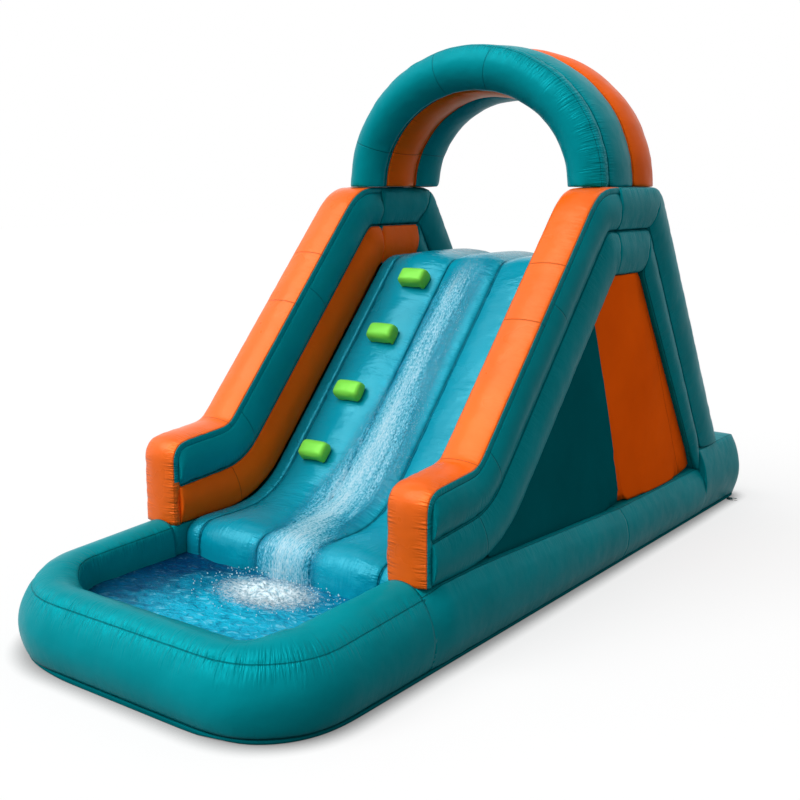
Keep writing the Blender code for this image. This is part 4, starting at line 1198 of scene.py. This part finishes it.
def read_line(line, y):
    """The value of a line at this y. Its points run from high y to low y."""
    if y >= line[0][0]:
        return line[0][1]
    for (y1, v1), (y2, v2) in zip(line, line[1:]):
        if y >= y2:
            return v1 + (v2 - v1) * (y1 - y) / (y1 - y2)
    return line[-1][1]


print("stream outline", len(LEFT_EDGE), "and", len(RIGHT_EDGE), "points")

# %% Stream ribbon
bed_shape = searchable(SKINS[node].data for node in BED)
path = [Vector((0, *spot)) for spot in BED_LINE]
steps = []
for start, end in zip(path, path[1:]):
    count = max(1, round((end - start).length / STREAM_STEP))
    steps += [start.lerp(end, index / count) for index in range(count)]
steps.append(path[-1])
steps = [spot for spot in steps if spot.y < STREAM_START]
build = bmesh.new()
layers = build.verts.layers.float
down, side_on = layers.new("flow_down"), layers.new("flow_across")
metres_on, core_on = layers.new("flow_side"), layers.new("flow_core")
rows = []
reached = 0.0
for index, spot in enumerate(steps):
    before, after = steps[max(0, index - 4)], steps[min(len(steps) - 1, index + 4)]
    out = Vector((0, after.z - before.z, before.y - after.y)).normalized()
    out = -out if out.z < -0.01 or out.y > 0.7 else out
    reached += (spot - steps[index - 1]).length if index else 0.0
    left, right = read_line(LEFT_EDGE, spot.y), read_line(RIGHT_EDGE, spot.y)
    middle, half = read_line(CORE_MIDDLE, spot.y), read_line(CORE_HALF, spot.y)
    row = []
    for step in range(ACROSS + 1):
        share = step / ACROSS
        x = left + (right - left) * share
        edge = min(1.0, 4 * share, 4 * (1 - share))
        ground = Vector((x, spot.y, spot.z))
        hit = bed_shape.ray_cast(ground + out * 0.25, -out)[0]
        ground = ground if hit is None else hit
        rough = noise.noise((x * 34, reached * 5, 2.0))
        rough += 0.6 * noise.noise((x * 80, reached * 14, 7))
        vert = build.verts.new(ground + out * (0.002 + edge * (0.006 + 0.004 * rough)))
        vert[down], vert[side_on] = reached, share * 2 - 1
        vert[metres_on], vert[core_on] = x, abs(x - middle) / half
        row.append(vert)
    rows.append(row)
for upper, lower in zip(rows, rows[1:]):
    for index in range(ACROSS):
        build.faces.new((upper[index], lower[index], lower[index + 1], upper[index + 1]))
build.normal_update()
print("stream length", round(reached, 2))

# %% [markdown]
# Fast thin water is streaky: a white core full of air, and clear blue water with specks of
# white on both sides of it. The finish stretches noise along the flow, in three sizes. The
# nearer to the core, the whiter it gets, and at its edges and its start it is ragged and clear.

# %% Stream finish
made = Recipe("running_water")
down_flow = made.stored("flow_down")
across_flow = made.maths("ABSOLUTE", made.stored("flow_across"))
side_flow = made.stored("flow_side")
core = made.ramp(made.stored("flow_core"), 0.25, 1.45, 1.0, 0.0)


def streaks(across_scale, down_scale, detail, rough):
    """Noise that is drawn out along the flow, with its two scales in waves a metre."""
    spot = made.across(made.times(side_flow, across_scale),
                       made.times(down_flow, down_scale))
    return made.spots(spot, 1.0, detail, rough)


wide = streaks(26.0, 2.2, 3.0, 0.6)
fine = streaks(95.0, 11.0, 4.0, 0.65)
dots = streaks(190.0, 70.0, 2.0, 0.6)
mix = made.plus(fine, 0.42, made.times(wide, 0.36))
mix = made.plus(dots, 0.66, made.maths("SUBTRACT", mix, 0.11))
mix = made.plus(core, 0.25, mix)
mix = made.maths("ADD", mix, made.ramp(down_flow, 0.1, 1.7, -0.05, 0.05))
foam = made.ramp(mix, 0.74, 1.06)
clear = made.blend(made.ramp(mix, 0.54, 0.74), (0.002, 0.19, 0.37), (0.03, 0.42, 0.60))
made.feed(made.blend(foam, clear, (0.52, 0.70, 0.77)), "Base Color")
start = made.ramp(made.plus(wide, -0.3, down_flow), -0.1, 0.22)
rim = made.ramp(made.plus(dots, 0.5, across_flow), 0.98, 1.24, 1.0, 0.0)
cover = made.ramp(mix, 0.56, 0.84, 0.28, 0.97)
made.feed(made.times(cover, made.times(start, rim)), "Alpha")
made.relief(made.times(made.maths("ADD", fine, dots), 0.0036))
made.feed(made.ramp(foam, 0.0, 1.0, 0.12, 0.5), "Roughness")
made.fix(Specular_IOR_Level=0.25)
finish_water(build, "stream", made.material)
print("stream laid on the bed")

# %% [markdown]
# ## The splash
# Where the stream lands, the pool is white with air. A low rough mound stands for it, thickest
# under the stream and thinning out to loose foam, with drops thrown up round it.

# %% Splash
made = Recipe("white_water")
edge_share = made.stored("foam_edge")
curd = made.spots(made.place((70.0, 90.0, 90.0)), 1.0, 5.0, 0.70, 0.4)
made.relief(made.times(curd, 0.0012))
made.feed(made.blend(made.ramp(curd, 0.32, 0.54), (0.22, 0.55, 0.70), (0.70, 0.82, 0.87)),
          "Base Color")
thin = made.plus(edge_share, -1.5, made.plus(curd, 1.5, 0.42))
made.feed(made.ramp(thin, 0.0, 0.80, 0.0, 0.94), "Alpha")
made.feed(made.ramp(curd, 0.3, 0.7, 0.25, 0.5), "Roughness")
made.fix(Specular_IOR_Level=0.35)
WHITE_WATER = made.material

FOAM_REACH = (0.34, 0.23)
FOAM_SPOKES, FOAM_RINGS = 140, 36
build = bmesh.new()
edge_layer = build.verts.layers.float.new("foam_edge")
rings = []
for ring in range(FOAM_RINGS + 1):
    share = ring / FOAM_RINGS
    row = []
    for spoke in range(FOAM_SPOKES if ring else 1):
        turn = 2 * math.pi * spoke / FOAM_SPOKES
        x = SPLASH.x + math.cos(turn) * FOAM_REACH[0] * share
        y = SPLASH.y + math.sin(turn) * FOAM_REACH[1] * share
        lumps = 0.7 + noise.noise((x * 30, y * 34, 1.5)) + 0.5 * noise.noise((x * 80, y * 90, 3))
        height = 0.024 * max(0.0, lumps) * max(0.0, 1 - share) ** 1.6
        vert = build.verts.new((x, max(-1.62, min(y, -1.13)), WATER_LEVEL + 0.006 + height))
        vert[edge_layer] = share
        row.append(vert)
    rings.append(row)
fan(build, rings[0][0], rings[1:])
finish_water(build, "splash", WHITE_WATER)
print("splash reaches", FOAM_REACH)

# %% Drops
DROPS = 190
chance = random.Random(7)
build = bmesh.new()
edge_layer = build.verts.layers.float.new("foam_edge")
for _ in range(DROPS):
    turn = chance.uniform(0, 2 * math.pi)
    reach = chance.uniform(0.15, 1.15) ** 0.7
    x = SPLASH.x + math.cos(turn) * FOAM_REACH[0] * reach
    y = min(-1.18, SPLASH.y + math.sin(turn) * FOAM_REACH[1] * reach)
    z = WATER_LEVEL + 0.012 + 0.075 * chance.random() ** 2 * max(0.1, 1.2 - reach)
    size = chance.uniform(0.0014, 0.0034)
    made_drop = bmesh.ops.create_icosphere(build, subdivisions=1, radius=size)
    for vert in made_drop["verts"]:
        vert.co = Vector((vert.co.x + x, vert.co.y + y, vert.co.z * 1.25 + z))
        vert[edge_layer] = 0.0
finish_water(build, "drops", WHITE_WATER)
print("drops", DROPS)

# %% [markdown]
# ## Floor and light
# The photograph is a studio cut-out: white all round, with a soft grey shadow to the right.
# The floor looks white to the camera because a part of its brightness is given to camera rays
# alone. Near the slide that part is dimmed by ambient occlusion, a painted contact shadow along
# its foot. The rest comes from the lamps, so the slide's shadow still shows.

# %% Floor
bpy.ops.object.select_all(action="DESELECT")
bpy.ops.mesh.primitive_plane_add(size=80, location=(0, 0, 0))
floor = bpy.context.object
floor.name = "floor"
paint = Recipe("floor_paint")
paint.fix(Base_Color=(0.22, 0.22, 0.22, 1), Roughness=1.0, Specular_IOR_Level=0.0)


def seen_rays(network):
    """1 for the rays that should meet a white background, 0 for the rays that only light."""
    rays = network.add("ShaderNodeLightPath").outputs
    total = rays["Is Camera Ray"]
    for kind in ("Is Glossy Ray", "Is Transmission Ray"):
        total = network.maths("MAXIMUM", total, rays[kind])
    return total


# Painted contact shadow: the floor's own glow dims where ambient occlusion finds the slide close
# by
near = paint.add("ShaderNodeAmbientOcclusion", {"Distance": 0.09}, samples=8).outputs["AO"]
near = paint.ramp(near, 0.4, 0.95, 0.22, 0.745)
dim = paint.add("ShaderNodeBsdfDiffuse", {"Color": (0.08, 0.08, 0.08, 1)}).outputs[0]
glow = paint.add("ShaderNodeEmission", {"Color": (1, 1, 1, 1), "Strength": near}).outputs[0]
both = paint.add("ShaderNodeAddShader", {0: paint.shader.outputs[0], 1: glow}).outputs[0]
shown = paint.add("ShaderNodeMixShader", {0: seen_rays(paint), 1: dim, 2: both}).outputs[0]
paint.tree.links.new(shown, paint.tree.nodes["Material Output"].inputs["Surface"])
floor.data.materials.append(paint.material)
print("floor painted")

# %% Light
def sun(name, towards, strength, spread):
    """A lamp so far away that its light is even, with a spread that softens its shadows."""
    data = bpy.data.lights.new(name, "SUN")
    data.energy = strength
    data.angle = math.radians(spread)
    lamp = placed(name, data)
    lamp.rotation_euler = Vector(towards).to_track_quat("-Z", "Y").to_euler()


sun("key", (0.27, 0.56, -0.80), 3.05, 52)
sun("left_fill", (0.85, 0.35, -0.35), 0.6, 70)
sun("right_fill", (-0.80, 0.55, -0.20), 0.18, 60)
sun("back_fill", (-0.25, -0.9, -0.5), 0.35, 60)
world = bpy.data.worlds.new("studio")
bpy.context.scene.world = world
world.use_nodes = True
sky = Network(world.node_tree)
background = sky.tree.nodes["Background"]
background.inputs[0].default_value = (1, 1, 1, 1)
sky.tree.links.new(sky.ramp(seen_rays(sky), 0.0, 1.0, 0.30, 1.0), background.inputs[1])
bpy.context.scene.view_settings.view_transform = "Standard"
print("four suns and a pale sky")

# %% Update the scene
bpy.context.view_layer.update()
